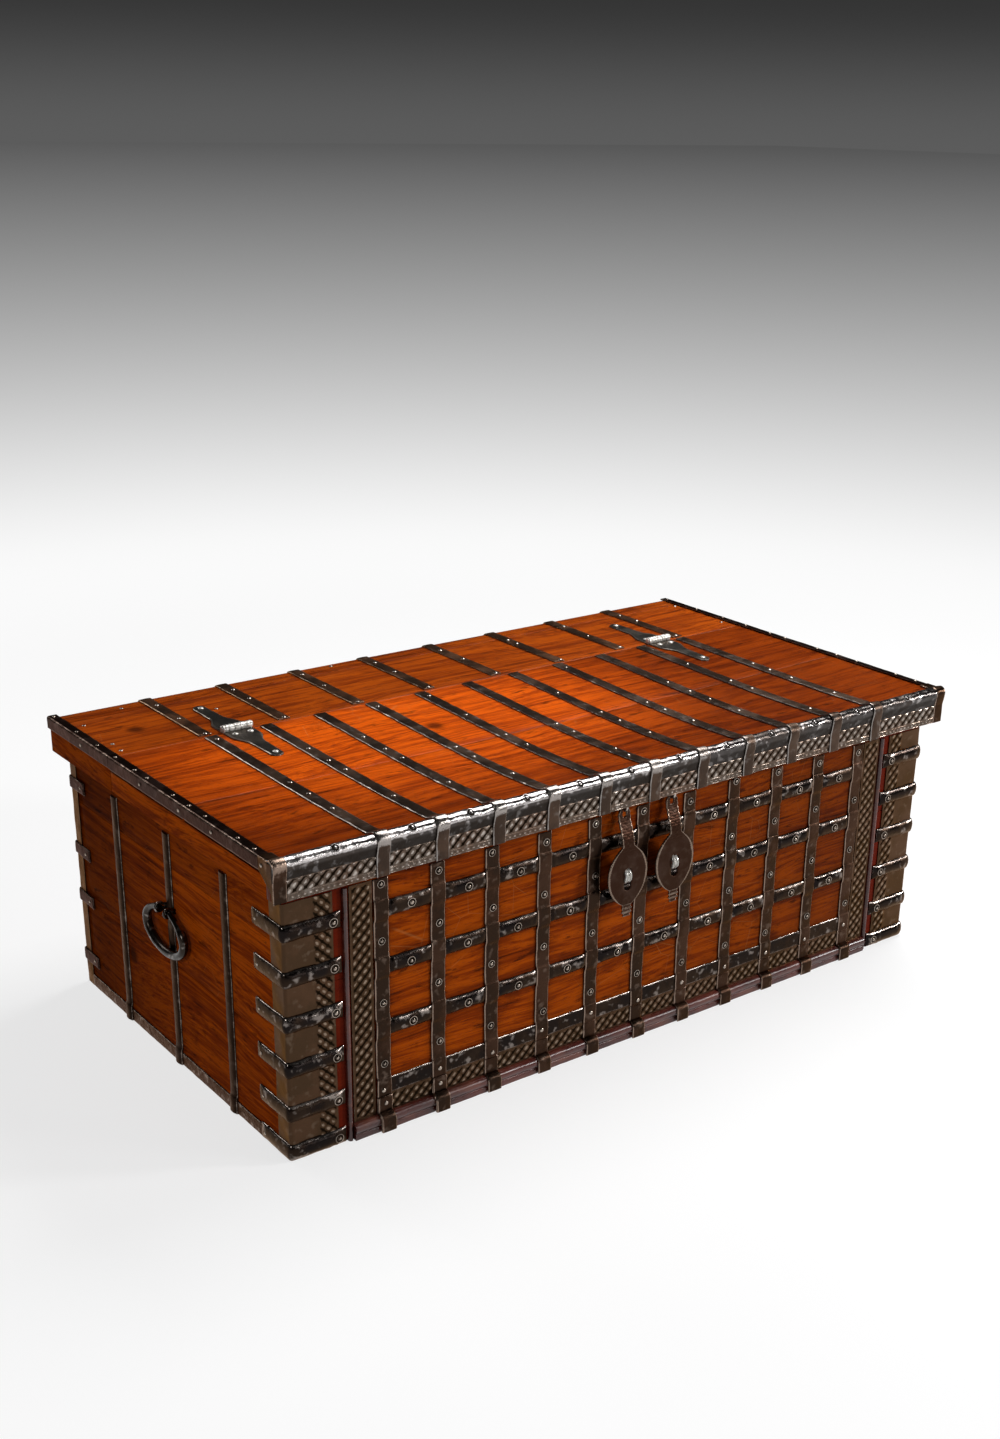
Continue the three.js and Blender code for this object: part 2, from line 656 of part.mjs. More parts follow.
function lidStrap(x) {
  const crest = woodFront + NOSING_TOP + IRON;
  const flatEnd = crest + JOGGLE;
  const start = lidRear - STRAP_START;
  const stations = 8;
  const flat = Array.from({ length: stations + 1 }, (_, i) =>
    start + (flatEnd - start) * i / stations);
  const line = (lift) => [...flat.map((y) => [y, woodTop + SEAT + lift]),
    [crest, woodTop + strapLift + lift],
    ...arc(edgeY, edgeZ, EDGE_ROUND + strapLift + lift, 90, 180),
    [woodFront - strapLift - lift, lidStrapBottom]];
  return dished(strip(line(0), line(IRON), [x - TOP_STRAP_WIDTH / 2, x + TOP_STRAP_WIDTH / 2]),
    edgeZ);
}

add('lid_binding', join(
  nosingBar(), ...SIDES.flatMap(([side]) => cornerCap(side)),
  ...lidStrapPlaces.map(lidStrap)), iron, lid);

const latticeEnd = lidEnd - CAP_FRONT - SEAT;
add('lid_lattice_strip', box(
  -latticeEnd, latticeEnd, woodFront - SEAT - SHEET, woodFront - SEAT,
  railBottom, nosingBottom - SEAT), embossed, lid);

// Strap hinges: two leaves that lie on the boards, with knuckles that mesh on a headed pin. Each
// hinge is drawn round its barrel's axis and set over the break.

const LEAF = 2.5;
const LEAF_LENGTH = 134;
const LEAF_NECK = 12;       // half widths of a leaf in its neck and at its tip
const LEAF_TIP = 10.5;
const LEAF_SHOULDER_SHARES = [0.2, 0.5];   // where its broad root ends and its neck starts
const KNUCKLES = 5;
const PIN = 2.6;
const PIN_HEAD = 4.4;
const PIN_HEAD_THICK = 2;
const hingeZ = woodTop + SEAT + BARREL_RADIUS;
const knucklePitch = 2 * LEAF_ROOT / KNUCKLES;

function leafOutline() {
  const [root, neck] = LEAF_SHOULDER_SHARES.map((share) => -LEAF_LENGTH * share);
  const shape = new THREE.Shape();
  shape.moveTo(-LEAF_ROOT, 0);
  shape.lineTo(-LEAF_ROOT, root);
  shape.bezierCurveTo(-LEAF_ROOT, (root + neck) / 2, -LEAF_NECK, (root + neck) / 2,
    -LEAF_NECK, neck);
  shape.lineTo(-LEAF_TIP, LEAF_TIP - LEAF_LENGTH);
  shape.absarc(0, LEAF_TIP - LEAF_LENGTH, LEAF_TIP, Math.PI, 2 * Math.PI, false);
  shape.lineTo(LEAF_NECK, neck);
  shape.bezierCurveTo(LEAF_NECK, (root + neck) / 2, LEAF_ROOT, (root + neck) / 2,
    LEAF_ROOT, root);
  shape.lineTo(LEAF_ROOT, 0);
  return shape;
}

const barrel = (radius, x0, x1, sides = 14) =>
  new THREE.CylinderGeometry(radius, radius, x1 - x0, sides)
    .rotateZ(Math.PI / 2).translate((x0 + x1) / 2, 0, 0);

function leaf(odd) {
  const knuckles = [];
  const rooms = [];
  for (let i = 0; i < KNUCKLES; i++) {
    const x0 = -LEAF_ROOT + i * knucklePitch;
    const x1 = x0 + knucklePitch;
    if (i % 2 === odd) knuckles.push(barrel(BARREL_RADIUS, x0 + SEAT / 2, x1 - SEAT / 2));
    else rooms.push(barrel(BARREL_RADIUS + 2 * SEAT, x0, x1));
  }
  const plate = alongZ(leafOutline(), -BARREL_RADIUS, LEAF - BARREL_RADIUS);
  const tools = [...rooms, barrel(PIN + SEAT, -LEAF_ROOT - CUT, LEAF_ROOT + CUT)];
  return cut(toGeometry(joinSolids([plate, ...knuckles])), ...tools);
}

function hingePin() {
  const end = LEAF_ROOT + SEAT;
  const profile = [[0, -end - PIN_HEAD_THICK], [PIN_HEAD * 0.7, -end - PIN_HEAD_THICK],
    [PIN_HEAD, -end - PIN_HEAD_THICK / 2], [PIN_HEAD, -end], [PIN, -end], [PIN, end],
    [PIN_HEAD, end], [PIN_HEAD, end + PIN_HEAD_THICK / 2],
    [PIN_HEAD * 0.7, end + PIN_HEAD_THICK], [0, end + PIN_HEAD_THICK]];
  return new THREE.LatheGeometry(profile.map(([r, h]) => new THREE.Vector2(r, h)), 12)
    .rotateZ(Math.PI / 2);
}

// The front leaf is bent down to the sunken board, point by point
function bentLeaf() {
  const geometry = leaf(1);
  const position = geometry.attributes.position;
  for (let i = 0; i < position.count; i++) {
    position.setZ(i, position.getZ(i) - dishAt(hingeX, breakY + position.getY(i)));
  }
  geometry.computeVertexNormals();
  return geometry;
}

for (const [side, name] of SIDES) {
  const place = [side * hingeX, breakY, hingeZ];
  const rear = add(`${name}_hinge_rear_leaf`, leaf(0), blackIron);
  rear.position.set(...place);
  rear.rotation.z = Math.PI;
  add(`${name}_hinge_pin`, hingePin(), steel).position.set(...place);
  add(`${name}_hinge_front_leaf`, bentLeaf(), blackIron, lid).position.set(...place);
}

// Hasps: a pear-shaped plate on a long neck, slotted for the staple, which hangs by its eye in a
// loop under the rail. It is drawn from the middle of that loop, (x, z) as seen from the front,
// and bent forward below its neck so that the plate stands over the staple.

const HASP_RIM = 3;         // iron over the eye's hole
const HASP_EYE = 11;        // eye and half neck
const HASP_HOLE = 9;
const HASP_HOLE_HEIGHT = 13;
const HASP_TIP_HALF = 8;
const SLOT_WIDTH = 14;
const SLOT_HEIGHT = 37;

const rimLow = Math.sqrt((LOOP_RADIUS - SEAT) ** 2 - (HASP_IRON / 2) ** 2);
const rimTop = rimLow - HASP_RIM;
const plateReach = hangY - lidFront - HASP_IRON / 2;

function slotHole(width, top, bottom) {
  const hole = new THREE.Path();
  const r = width / 2;
  hole.moveTo(-r, bottom + r);
  hole.absarc(0, bottom + r, r, Math.PI, 2 * Math.PI, false);
  hole.lineTo(r, top - r);
  hole.absarc(0, top - r, r, 0, Math.PI, false);
  return hole;
}

function haspOutline() {
  const eyeZ = -rimTop - HASP_EYE;
  const [shoulder, widest, tip] = ['shoulder', 'widest', 'tip']
    .map((place) => HASP_LENGTH * HASP_PLACE_SHARES[place]);
  const upper = (shoulder + widest) / 2;
  const lower = (widest + tip) / 2;
  const finial = HASP_LENGTH - tip;
  const shape = new THREE.Shape();
  shape.moveTo(-HASP_EYE, eyeZ);
  shape.lineTo(-HASP_EYE, -shoulder);
  shape.bezierCurveTo(-HASP_EYE, -upper, -HASP_HALF, -upper, -HASP_HALF, -widest);
  shape.bezierCurveTo(-HASP_HALF, -lower, -HASP_TIP_HALF * 2, -lower, -HASP_TIP_HALF, -tip);
  shape.lineTo(-HASP_TIP_HALF * 1.2, -tip - finial / 3);
  shape.lineTo(-HASP_TIP_HALF * 0.6, -HASP_LENGTH);
  shape.lineTo(HASP_TIP_HALF * 0.6, -HASP_LENGTH);
  shape.lineTo(HASP_TIP_HALF * 1.2, -tip - finial / 3);
  shape.lineTo(HASP_TIP_HALF, -tip);
  shape.bezierCurveTo(HASP_TIP_HALF * 2, -lower, HASP_HALF, -lower, HASP_HALF, -widest);
  shape.bezierCurveTo(HASP_HALF, -upper, HASP_EYE, -upper, HASP_EYE, -shoulder);
  shape.lineTo(HASP_EYE, eyeZ);
  shape.absarc(0, eyeZ, HASP_EYE, 0, Math.PI, false);
  shape.holes.push(
    slotHole(HASP_HOLE, -rimLow, -rimLow - HASP_HOLE_HEIGHT),
    slotHole(SLOT_WIDTH, -slotDrop + SLOT_HEIGHT / 2, -slotDrop - SLOT_HEIGHT / 2));
  return shape;
}

function hasp() {
  const half = HASP_IRON / 2;
  const blank = alongY(haspOutline(), -plateReach - half - CUT, half + CUT);
  const [bendZ, bendEndZ] = ['bend', 'bendEnd']
    .map((place) => -HASP_LENGTH * HASP_PLACE_SHARES[place]);
  const line = (y) => [[y, 0], [y, bendZ], [y - plateReach, bendEndZ],
    [y - plateReach, -HASP_LENGTH - CUT]];
  const bend = alongX(outline([...line(-half), ...line(half).reverse()]),
    -HASP_HALF - CUT, HASP_HALF + CUT);
  return toGeometry(toSolid(blank).intersect(toSolid(bend)));
}

// The loop: a bent rod in the (y, z) plane whose legs are driven up into the rail
function haspLoop() {
  const bend = arc(0, 0, loopBend, 180, 360, 10);
  const top = LOOP_DROP + SHANK;
  const path = [[-loopBend, top], ...bend, [loopBend, top]];
  return bentBar(path.map(([y, z]) => new THREE.Vector3(0, y, z)),
    new THREE.Vector3(1, 0, 0), () => LOOP_ROD, 6);
}

// The staple: a broad band bent to a loop that stands out of the front board, in (y, z)
function staple() {
  const out = lidFront + HASP_IRON + RUN / 2;
  const r = STAPLE_HEIGHT / 2;
  const band = (half) => [[bodyFront + SHANK, half], ...arc(out + r, 0, half, 90, 270, 8),
    [bodyFront + SHANK, -half]];
  return alongX(outline([...band(r), ...band(r - STAPLE_IRON).reverse()]),
    -STAPLE_WIDTH / 2, STAPLE_WIDTH / 2);
}

for (const [side, name] of SIDES) {
  const x = side * haspX;
  add(`${name}_hasp_loop`, haspLoop(), iron, lid).position.set(x, hangY, hangZ);
  add(`${name}_hasp`, hasp(), iron, lid).position.set(x, hangY, hangZ);
  add(`${name}_staple`, staple(), steel).position.set(x, 0, stapleZ);
}

// Bail handles: an oval bar, thick in the hand and thin in its eyes, that hangs over the middle
// strap of each end. Drawn round its pivot for the left end, and turned about for the right.

const BAIL_HALF = 60;       // middle of the bar, from the middle of the oval
const BAIL_DROP = 34;       // half the oval's height
const BAIL_BAR = 7;
const BAIL_STUB = 4.4;      // radius in the eyes
const STUB_IN = 5;          // its straight ends, either side of the middle of an eye
const STUB_OUT = 7;
const TAPER_SHARES = [0.07, 0.2];   // stretch of the bar in which it thickens
const pivotOut = bodyEnd + SEAT + SIDE_STRAP_RISE + SEAT + BAIL_BAR;

function bail() {
  const oval = arc(0, 0, 1, 52, -232, 12)
    .map(([y, z]) => [y * BAIL_HALF, (z - 1) * BAIL_DROP]);
  const stub = [[eyePlace - STUB_IN, 0], [eyePlace, 0], [eyePlace + STUB_OUT, 0]];
  const path = [...stub, ...oval, ...stub.map(([y, z]) => [-y, z]).reverse()];
  const curve = new THREE.CatmullRomCurve3(
    path.map(([y, z]) => new THREE.Vector3(0, y, z)), false, 'centripetal');
  const radiusAt = (t) => {
    const share = THREE.MathUtils.smoothstep(Math.min(t, 1 - t), ...TAPER_SHARES);
    return BAIL_STUB + (BAIL_BAR - BAIL_STUB) * share;
  };
  return bentBar(curve.getSpacedPoints(36), new THREE.Vector3(1, 0, 0), radiusAt);
}

// An eye: a rod bent round the bail's end, with both legs driven into the end board
function bailEye() {
  const ring = BAIL_STUB + SEAT + EYE_ROD;
  const inside = pivotOut - bodyEnd + SHANK;
  const path = [[inside, eyeLegs], [ring + EYE_ROD, eyeLegs],
    ...arc(0, 0, ring, 50, 310, 6), [ring + EYE_ROD, -eyeLegs], [inside, -eyeLegs]];
  const curve = new THREE.CatmullRomCurve3(
    path.map(([x, z]) => new THREE.Vector3(x, 0, z)), false, 'centripetal');
  return bentBar(curve.getSpacedPoints(26), new THREE.Vector3(0, 1, 0), () => EYE_ROD, 6);
}

for (const [side, name] of SIDES) {
  const handle = new THREE.Group();
  handle.position.set(side * pivotOut, bailY, bailZ);
  handle.rotation.z = side < 0 ? 0 : Math.PI;
  chest.add(handle);
  add(`${name}_bail`, bail(), iron, handle);
  for (const end of [-1, 1]) {
    const place = side * end < 0 ? 'rear' : 'front';
    add(`${name}_bail_${place}_eye`, bailEye(), iron, handle).position.y = end * eyePlace;
  }
}

export default chest;
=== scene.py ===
import math

import bmesh
import bpy
import numpy as np
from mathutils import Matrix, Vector


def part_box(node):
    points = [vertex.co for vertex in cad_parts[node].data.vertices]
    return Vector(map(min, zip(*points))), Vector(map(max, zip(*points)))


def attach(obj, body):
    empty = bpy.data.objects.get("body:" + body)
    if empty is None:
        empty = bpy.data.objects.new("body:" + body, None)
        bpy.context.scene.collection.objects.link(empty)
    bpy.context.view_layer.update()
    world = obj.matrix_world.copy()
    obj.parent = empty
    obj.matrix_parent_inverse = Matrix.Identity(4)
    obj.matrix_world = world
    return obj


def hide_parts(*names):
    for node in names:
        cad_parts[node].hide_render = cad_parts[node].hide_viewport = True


# Iron-bound hardwood chest, in metres, +Z up, front towards -Y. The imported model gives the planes
# of the wood and the joints; every surface that shows is made here to lie on those planes.
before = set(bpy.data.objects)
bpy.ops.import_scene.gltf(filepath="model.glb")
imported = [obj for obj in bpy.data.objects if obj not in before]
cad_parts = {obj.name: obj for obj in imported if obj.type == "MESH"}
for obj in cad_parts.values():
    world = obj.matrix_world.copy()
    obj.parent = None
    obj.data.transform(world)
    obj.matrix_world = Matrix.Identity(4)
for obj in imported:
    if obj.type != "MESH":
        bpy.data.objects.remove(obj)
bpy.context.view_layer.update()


# Carcass: four walls and a bottom of oiled hardwood planks, edge to edge, nailed through the
# irons. Age has rounded their edges, and beside the irons dirt and painted shade darken them.
MM = 0.001
SIDES = ((-1, "left"), (1, "right"))


def loft(rings, rim=None):
    """A closed skin over a row of rings, an array (rings, corners, 3). Each ring is joined to the
    next by four-cornered faces, and the two end rings are closed by strips that pair each corner
    with the one opposite. Faces are turned round if the volume comes out negative."""
    count, corners = rings.shape[:2]
    at = np.arange(count * corners).reshape(count, corners)
    near, far = at[:-1], at[1:]
    walls = np.stack([near, np.roll(near, -1, 1), np.roll(far, -1, 1), far], -1).reshape(-1, 4)
    i = np.arange(corners // 2 - 1)
    cap = np.stack([i, i + 1, corners - 2 - i, corners - 1 - i], -1)
    faces = np.concatenate([walls, at[0][cap[:, ::-1]], at[-1][cap]])
    points = rings.reshape(-1, 3)
    a, b, c, d = (points[faces[:, k]] - points[0] for k in range(4))
    volume = (a * np.cross(b, c)).sum() + (a * np.cross(c, d)).sum()
    if volume < 0:
        faces = faces[:, ::-1]
    rim = np.zeros(len(points)) if rim is None else np.broadcast_to(rim, (count, corners)).ravel()
    return points, faces, rim


def joined(shapes):
    """Several (points, faces, rim) shapes as one."""
    shapes = list(shapes)
    starts = np.cumsum([0] + [len(points) for points, _, _ in shapes[:-1]])
    points = np.concatenate([points for points, _, _ in shapes])
    faces = np.concatenate([faces + start for (_, faces, _), start in zip(shapes, starts)])
    return points, faces, np.concatenate([rim for _, _, rim in shapes])


def piece(name, shape, material, slot, body, *nodes, sharp=38, **attributes):
    """A named mesh of a (points, faces, rim) shape, fixed to a body in place of CAD nodes. The
    rim, and any other values at the points, become attributes that the material reads."""
    points, faces, rim = shape
    mesh = bpy.data.meshes.new(name)
    mesh.vertices.add(len(points))
    mesh.vertices.foreach_set("co", np.asarray(points, np.float32).ravel())
    mesh.loops.add(faces.size)
    mesh.loops.foreach_set("vertex_index", faces.astype(np.int32).ravel())
    mesh.polygons.add(len(faces))
    mesh.polygons.foreach_set("loop_start", np.arange(0, faces.size, 4, dtype=np.int32))
    for key, values in {"rim": rim, **attributes}.items():
        field = mesh.attributes.new(key, "FLOAT", "POINT")
        field.data.foreach_set("value", np.asarray(values, np.float32))
    mesh.update(calc_edges=True)
    mesh.validate()
    mesh.shade_smooth()
    mesh.set_sharp_from_angle(angle=math.radians(sharp))
    mesh.materials.append(material)
    made = bpy.data.objects.new(name, mesh)
    bpy.context.scene.collection.objects.link(made)
    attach(made, body)
    if nodes:
        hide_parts(*nodes)
    return made


class Wire:
    """What leaves a shader node. A sum, difference or product of wires and numbers is written
    as such, and becomes a Math node."""
    def __init__(self, socket):
        self.socket = socket

    def __add__(self, other):
        return maths("ADD", self, other)

    def __sub__(self, other):
        return maths("SUBTRACT", self, other)

    def __mul__(self, other):
        return maths("MULTIPLY", self, other)

    __radd__ = __add__
    __rmul__ = __mul__


def node(tree, kind, inputs, **settings):
    """A shader node with its settings. Each input is a value, or the wire that feeds it."""
    made = tree.nodes.new(kind)
    for key, value in settings.items():
        setattr(made, key, value)
    for key, value in inputs.items():
        if isinstance(value, Wire):
            tree.links.new(value.socket, made.inputs[key])
        else:
            made.inputs[key].default_value = value
    return made


def feed(kind, inputs, output=0, **settings):
    """The wire that leaves a new node, which stands in the tree of the wires that feed it."""
    tree = next(value.socket.id_data for value in inputs.values() if isinstance(value, Wire))
    return Wire(node(tree, kind, inputs, **settings).outputs[output])


def maths(how, *values):
    """An operation on one to three numbers, of which one is a wire."""
    return feed("ShaderNodeMath", dict(enumerate(values)), operation=how)


def mixed(share, first, second, how="MIX"):
    """One colour turning to another as the share goes from 0 to 1."""
    inputs = {0: share, 6: first, 7: second}
    return feed("ShaderNodeMix", inputs, 2, data_type="RGBA", blend_type=how)


def layered(colour, *layers):
    """A colour with others laid over it in turn, each by its share."""
    for share, over in layers:
        colour = mixed(share, colour, over)
    return colour


def between(value, low, high, start=0.0, end=1.0):
    """Start to end as the value goes from low to high, eased at both ends and held outside."""
    inputs = {"Value": value, "From Min": low, "From Max": high, "To Min": start, "To Max": end}
    return feed("ShaderNodeMapRange", inputs, interpolation_type="SMOOTHSTEP")


def noise(place, scale, detail, roughness=0.55, stretch=(1, 1, 1)):
    """Cloudy noise of so many lumps a metre, drawn out where a stretch is below 1."""
    place = feed("ShaderNodeMapping", {"Vector": place, "Scale": stretch})
    inputs = {"Vector": place, "Scale": scale, "Detail": detail, "Roughness": roughness}
    return feed("ShaderNodeTexNoise", inputs)


def cells(place, scale, output, feature="F1"):
    """Cells round scattered points, so many a metre: their colour, or the distance to a point or
    to the nearest edge."""
    return feed("ShaderNodeTexVoronoi", {"Vector": place, "Scale": scale}, output, feature=feature)


def moved(place, x, y, z):
    """A place moved along each axis."""
    shift = feed("ShaderNodeCombineXYZ", {"X": x, "Y": y, "Z": z})
    return feed("ShaderNodeVectorMath", {0: place, 1: shift}, operation="ADD")


def grey(tone):
    """A colour of three equal parts."""
    return feed("ShaderNodeCombineColor", {"Red": tone, "Green": tone, "Blue": tone})


def object_place(tree):
    """The place of a point in its object, which is its place on the chest."""
    return Wire(node(tree, "ShaderNodeTexCoord", {}).outputs["Object"])


def attribute(tree, name):
    """A value that the piece has at its points."""
    return Wire(node(tree, "ShaderNodeAttribute", {}, attribute_name=name).outputs["Fac"])


def node_group(name, inputs, outputs, wiring):
    """A shader node group with named sockets. The wiring takes the wires that enter it, and gives
    back those that leave it, both by name."""
    tree = bpy.data.node_groups.new(name, "ShaderNodeTree")
    for side, sockets in (("INPUT", inputs), ("OUTPUT", outputs)):
        for key, kind in sockets.items():
            tree.interface.new_socket(key, in_out=side, socket_type="NodeSocket" + kind)
    entry = node(tree, "NodeGroupInput", {}).outputs
    node(tree, "NodeGroupOutput", wiring(*(Wire(entry[key]) for key in inputs)))
    return tree


def from_group(tree, group, **inputs):
    """What a node group puts out for some inputs, by name."""
    made = node(tree, "ShaderNodeGroup", inputs, node_tree=group)
    return {socket.name: Wire(socket) for socket in made.outputs}


PALE_WOOD = (0.52, 0.088, 0.003, 1)
DEEP_WOOD = (0.28, 0.038, 0.002, 1)
DARK_WOOD = (0.050, 0.008, 0.001, 1)
SCRATCHED_WOOD = (0.6, 0.24, 0.07, 1)
RED_STAIN = (0.115, 0.009, 0.003, 1)
GRAIN_STRETCH = (0.03, 1, 1)


def grain(place, pale, deep, dark, age):
    """Old hardwood whose grain runs along X. Growth rings are noise drawn out along the grain
    and bent by slower noise, streaks are the same but finer, pores are short dark dashes, flecks
    are small dark marks drawn out along the grain, knots are dark spots round scattered points,
    and scratches are the edges of large cells."""
    bend = 0.11 * (noise(place, 3.0, 2.0, stretch=(0.5, 1.6, 1.6)) - 0.5)
    bent = moved(place, 0.0, bend, bend)
    rings = noise(bent, 62.0, 4.0, 0.62, GRAIN_STRETCH)
    streaks = noise(bent, 240.0, 3.0, 0.6, GRAIN_STRETCH)
    pores = between(noise(bent, 820.0, 1.0, 0.5, (0.05, 1, 1)), 0.6, 0.72)
    flecks = between(noise(bent, 75.0, 5.0, 0.7, (0.22, 1, 1)), 0.57, 0.68)
    clouds = noise(place, 5.5, 4.0, 0.6, (0.55, 1, 1))
    stains = between(noise(place, 14.0, 5.0, 0.7), 0.58, 0.72)
    chosen = feed("ShaderNodeSeparateColor", {"Color": cells(place, 8.0, "Color")})
    knots = between(cells(place, 8.0, "Distance"), 0.05, 0.17, 1.0, 0.0)
    knots = knots * maths("GREATER_THAN", chosen, 0.82)
    edges = cells(place, 17.0, "Distance", "DISTANCE_TO_EDGE")
    scratch = between(edges, 0.0, 0.012, 1.0, 0.0) * between(clouds, 0.53, 0.62)
    tone = 0.5 * streaks + 0.5 * rings + 0.2 * (clouds - 0.5)
    colour = mixed(between(tone, 0.28, 0.44), dark, deep)
    colour = layered(colour, (between(tone, 0.42, 0.58), pale), (0.5 * pores, dark),
                     (0.8 * knots, dark), (0.3 * scratch, SCRATCHED_WOOD), (0.72 * flecks, dark),
                     (stains * age, dark))
    height = 0.5 * streaks + 0.6 * rings - 0.35 * pores - 0.5 * scratch - knots
    return {"Color": colour, "Roughness": 0.3 * clouds + 0.2 + 0.25 * scratch, "Height": height}


GRAIN = node_group(
    "hardwood_grain",
    {"Place": "Vector", "Pale": "Color", "Deep": "Color", "Dark": "Color", "Age": "Float"},
    {"Color": "Color", "Roughness": "Float", "Height": "Float"}, grain)


def principled(name, wiring, bump=0.4 * MM, **values):
    """A material whose surface is a Principled BSDF. The wiring takes its tree, and gives back
    the wires that feed its inputs or the height of its bumps; the values are set on it."""
    material = bpy.data.materials.new(name)
    material.use_nodes = True
    tree = material.node_tree
    shader = tree.nodes["Principled BSDF"]
    for key, value in values.items():
        shader.inputs[key.replace("_", " ")].default_value = value
    for key, wire in wiring(tree).items():
        if key == "Height":
            key, wire = "Normal", feed("ShaderNodeBump", {"Height": wire, "Distance": bump})
        tree.links.new(wire.socket, shader.inputs[key])
    return material


def hardwood(name, turn, age, gloss, pale=PALE_WOOD, deep=DEEP_WOOD, edge=DARK_WOOD):
    """Oiled hardwood. Each plank's number moves its grain, its tone lightens or darkens it, with
    painted shade and light where a fade puts them, its rubbed edges have a colour of their own,
    which on the top and the lid is pale and is also a painted highlight, and a red stain covers
    its bare ends."""
    def wiring(tree):
        turned = feed("ShaderNodeMapping", {"Vector": object_place(tree), "Rotation": turn})
        plank = attribute(tree, "plank")
        wood = from_group(tree, GRAIN, Place=moved(turned, plank, plank, plank), Pale=pale,
                          Deep=deep, Dark=DARK_WOOD, Age=age)
        shaded = mixed(1.0, wood.pop("Color"), grey(attribute(tree, "tone")), "MULTIPLY")
        rub = 0.6 * between(attribute(tree, "rim"), 0.2, 1.0)
        colour = layered(shaded, (attribute(tree, "stain"), RED_STAIN), (rub, edge))
        return {"Base Color": colour, **wood}
    return principled(name, wiring, Coat_Weight=0.015, Coat_Roughness=0.16,
                      Specular_IOR_Level=gloss)


QUARTER = math.pi / 2
wood_along_x = hardwood("oiled_hardwood_long", (0, 0, 0), 0.35, 0.02)
wood_along_y = hardwood("oiled_hardwood_cross", (0, 0, -QUARTER), 0.5, 0.0)


def eased(start, end, step, ease):
    """Stations from start to end with two close to each end, and how far the skin draws in."""
    inner = np.linspace(start + ease, end - ease, max(2, round((end - start) / step)))
    near = np.array([0, 0.3 * ease])
    draw = np.concatenate([[ease, 0.3 * ease], np.zeros(len(inner)), [0.3 * ease, ease]])
    return np.concatenate([start + near, inner, end - near[::-1]]), draw


def plank(low, high, axes, ease=1.5 * MM, step=0.025):
    """A board with eased edges. Its section is a rectangle with corners drawn in, and it is
    carried along the first of its axes, which name its length, width and thickness."""
    order = ["xyz".index(axis) for axis in axes]
    (l0, w0, t0), (l1, w1, t1) = np.array(low)[order], np.array(high)[order]
    along, end_draw = eased(l0, l1, step, ease)
    across, edge_draw = eased(w0, w1, step, ease)
    middle = (w0 + w1) / 2
    end_draw = end_draw[:, None]
    w = middle + (across - middle) * (1 - 2 * end_draw / (w1 - w0))
    l = np.broadcast_to(along[:, None], w.shape)
    face = np.stack([l, w, t1 - end_draw - edge_draw], -1)
    back = np.stack([l, w, t0 + end_draw + edge_draw], -1)[:, ::-1]
    local = np.concatenate([face, back], 1)
    rings = np.empty_like(local)
    rings[..., order] = local
    rim = np.maximum(end_draw, edge_draw) / ease
    return loft(rings, np.concatenate([rim, rim[:, ::-1]], 1))


plank_count = 0


def timber(name, planks, material, body, *nodes, tones=(1.0,), fade=None, stain=None):
    """A wooden part made of planks, each with a grain of its own and a tone. A fade changes the
    tone from place to place, and a stain says where the wood is red."""
    global plank_count
    numbers, shades = [], []
    for k, (points, _, _) in enumerate(planks):
        plank_count += 1
        numbers.append(np.full(len(points), plank_count * 1.37))
        shades.append(np.full(len(points), tones[k % len(tones)]))
    shape = joined(planks)
    shades = np.concatenate(shades) * (1 if fade is None else fade(shape[0]))
    stained = np.zeros(len(shades)) if stain is None else stain(shape[0])
    return piece(name, shape, material, "hardwood", body, *nodes,
                 plank=np.concatenate(numbers), tone=shades, stain=stained)


def planked(node_name, axes, seams, **settings):
    """The planks of a CAD board that is parted at some heights."""
    low, high = (np.array(corner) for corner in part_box(node_name))
    levels = [low[2], *seams, high[2]]
    return [plank((*low[:2], bottom), (*high[:2], top), axes, **settings)
            for bottom, top in zip(levels[:-1], levels[1:])]


def smooth(value, low, high):
    """Eased step from 0 to 1 between two values."""
    t = np.clip((value - low) / (high - low), 0, 1)
    return t * t * (3 - 2 * t)


def dirt_and_shade_beside(off, reach):
    """Dirt and painted shade beside an iron: 1 under it and falling off with the distance
    from its edge.
    """
    return np.exp(-np.clip(off, 0, None) / reach)


FRONT_SEAMS = (0.2592,)
END_SEAMS = (0.170, 0.329)
BOTTOM_SEAMS = (-0.1, 0.12)
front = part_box("front_panel")[0].y
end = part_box("front_panel")[1].x
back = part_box("back_panel")[1].y
field_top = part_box("front_straps")[1].z
rail_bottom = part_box("lid_front_rail")[0].z
moulding_low, moulding_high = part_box("base_moulding")
moulding_top = moulding_high.z
ROW_WIDTH = 25 * MM
STRAP_WIDTH = 24 * MM
DIRT_AND_SHADE_REACH = 9 * MM
SHADED = (12 * MM, 10 * MM)
STAIN_EDGE = 4 * MM
UPRIGHTS = 11
ROW_SHARES = (0.838, 0.609, 0.356, 0.11)
row_heights = [moulding_top + share * (rail_bottom - moulding_top) for share in ROW_SHARES]
upright_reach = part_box("lattice_band")[1].x - STRAP_WIDTH / 2
uprights = np.linspace(-upright_reach, upright_reach, UPRIGHTS)
stile_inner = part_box("right_lattice_strip")[1].x


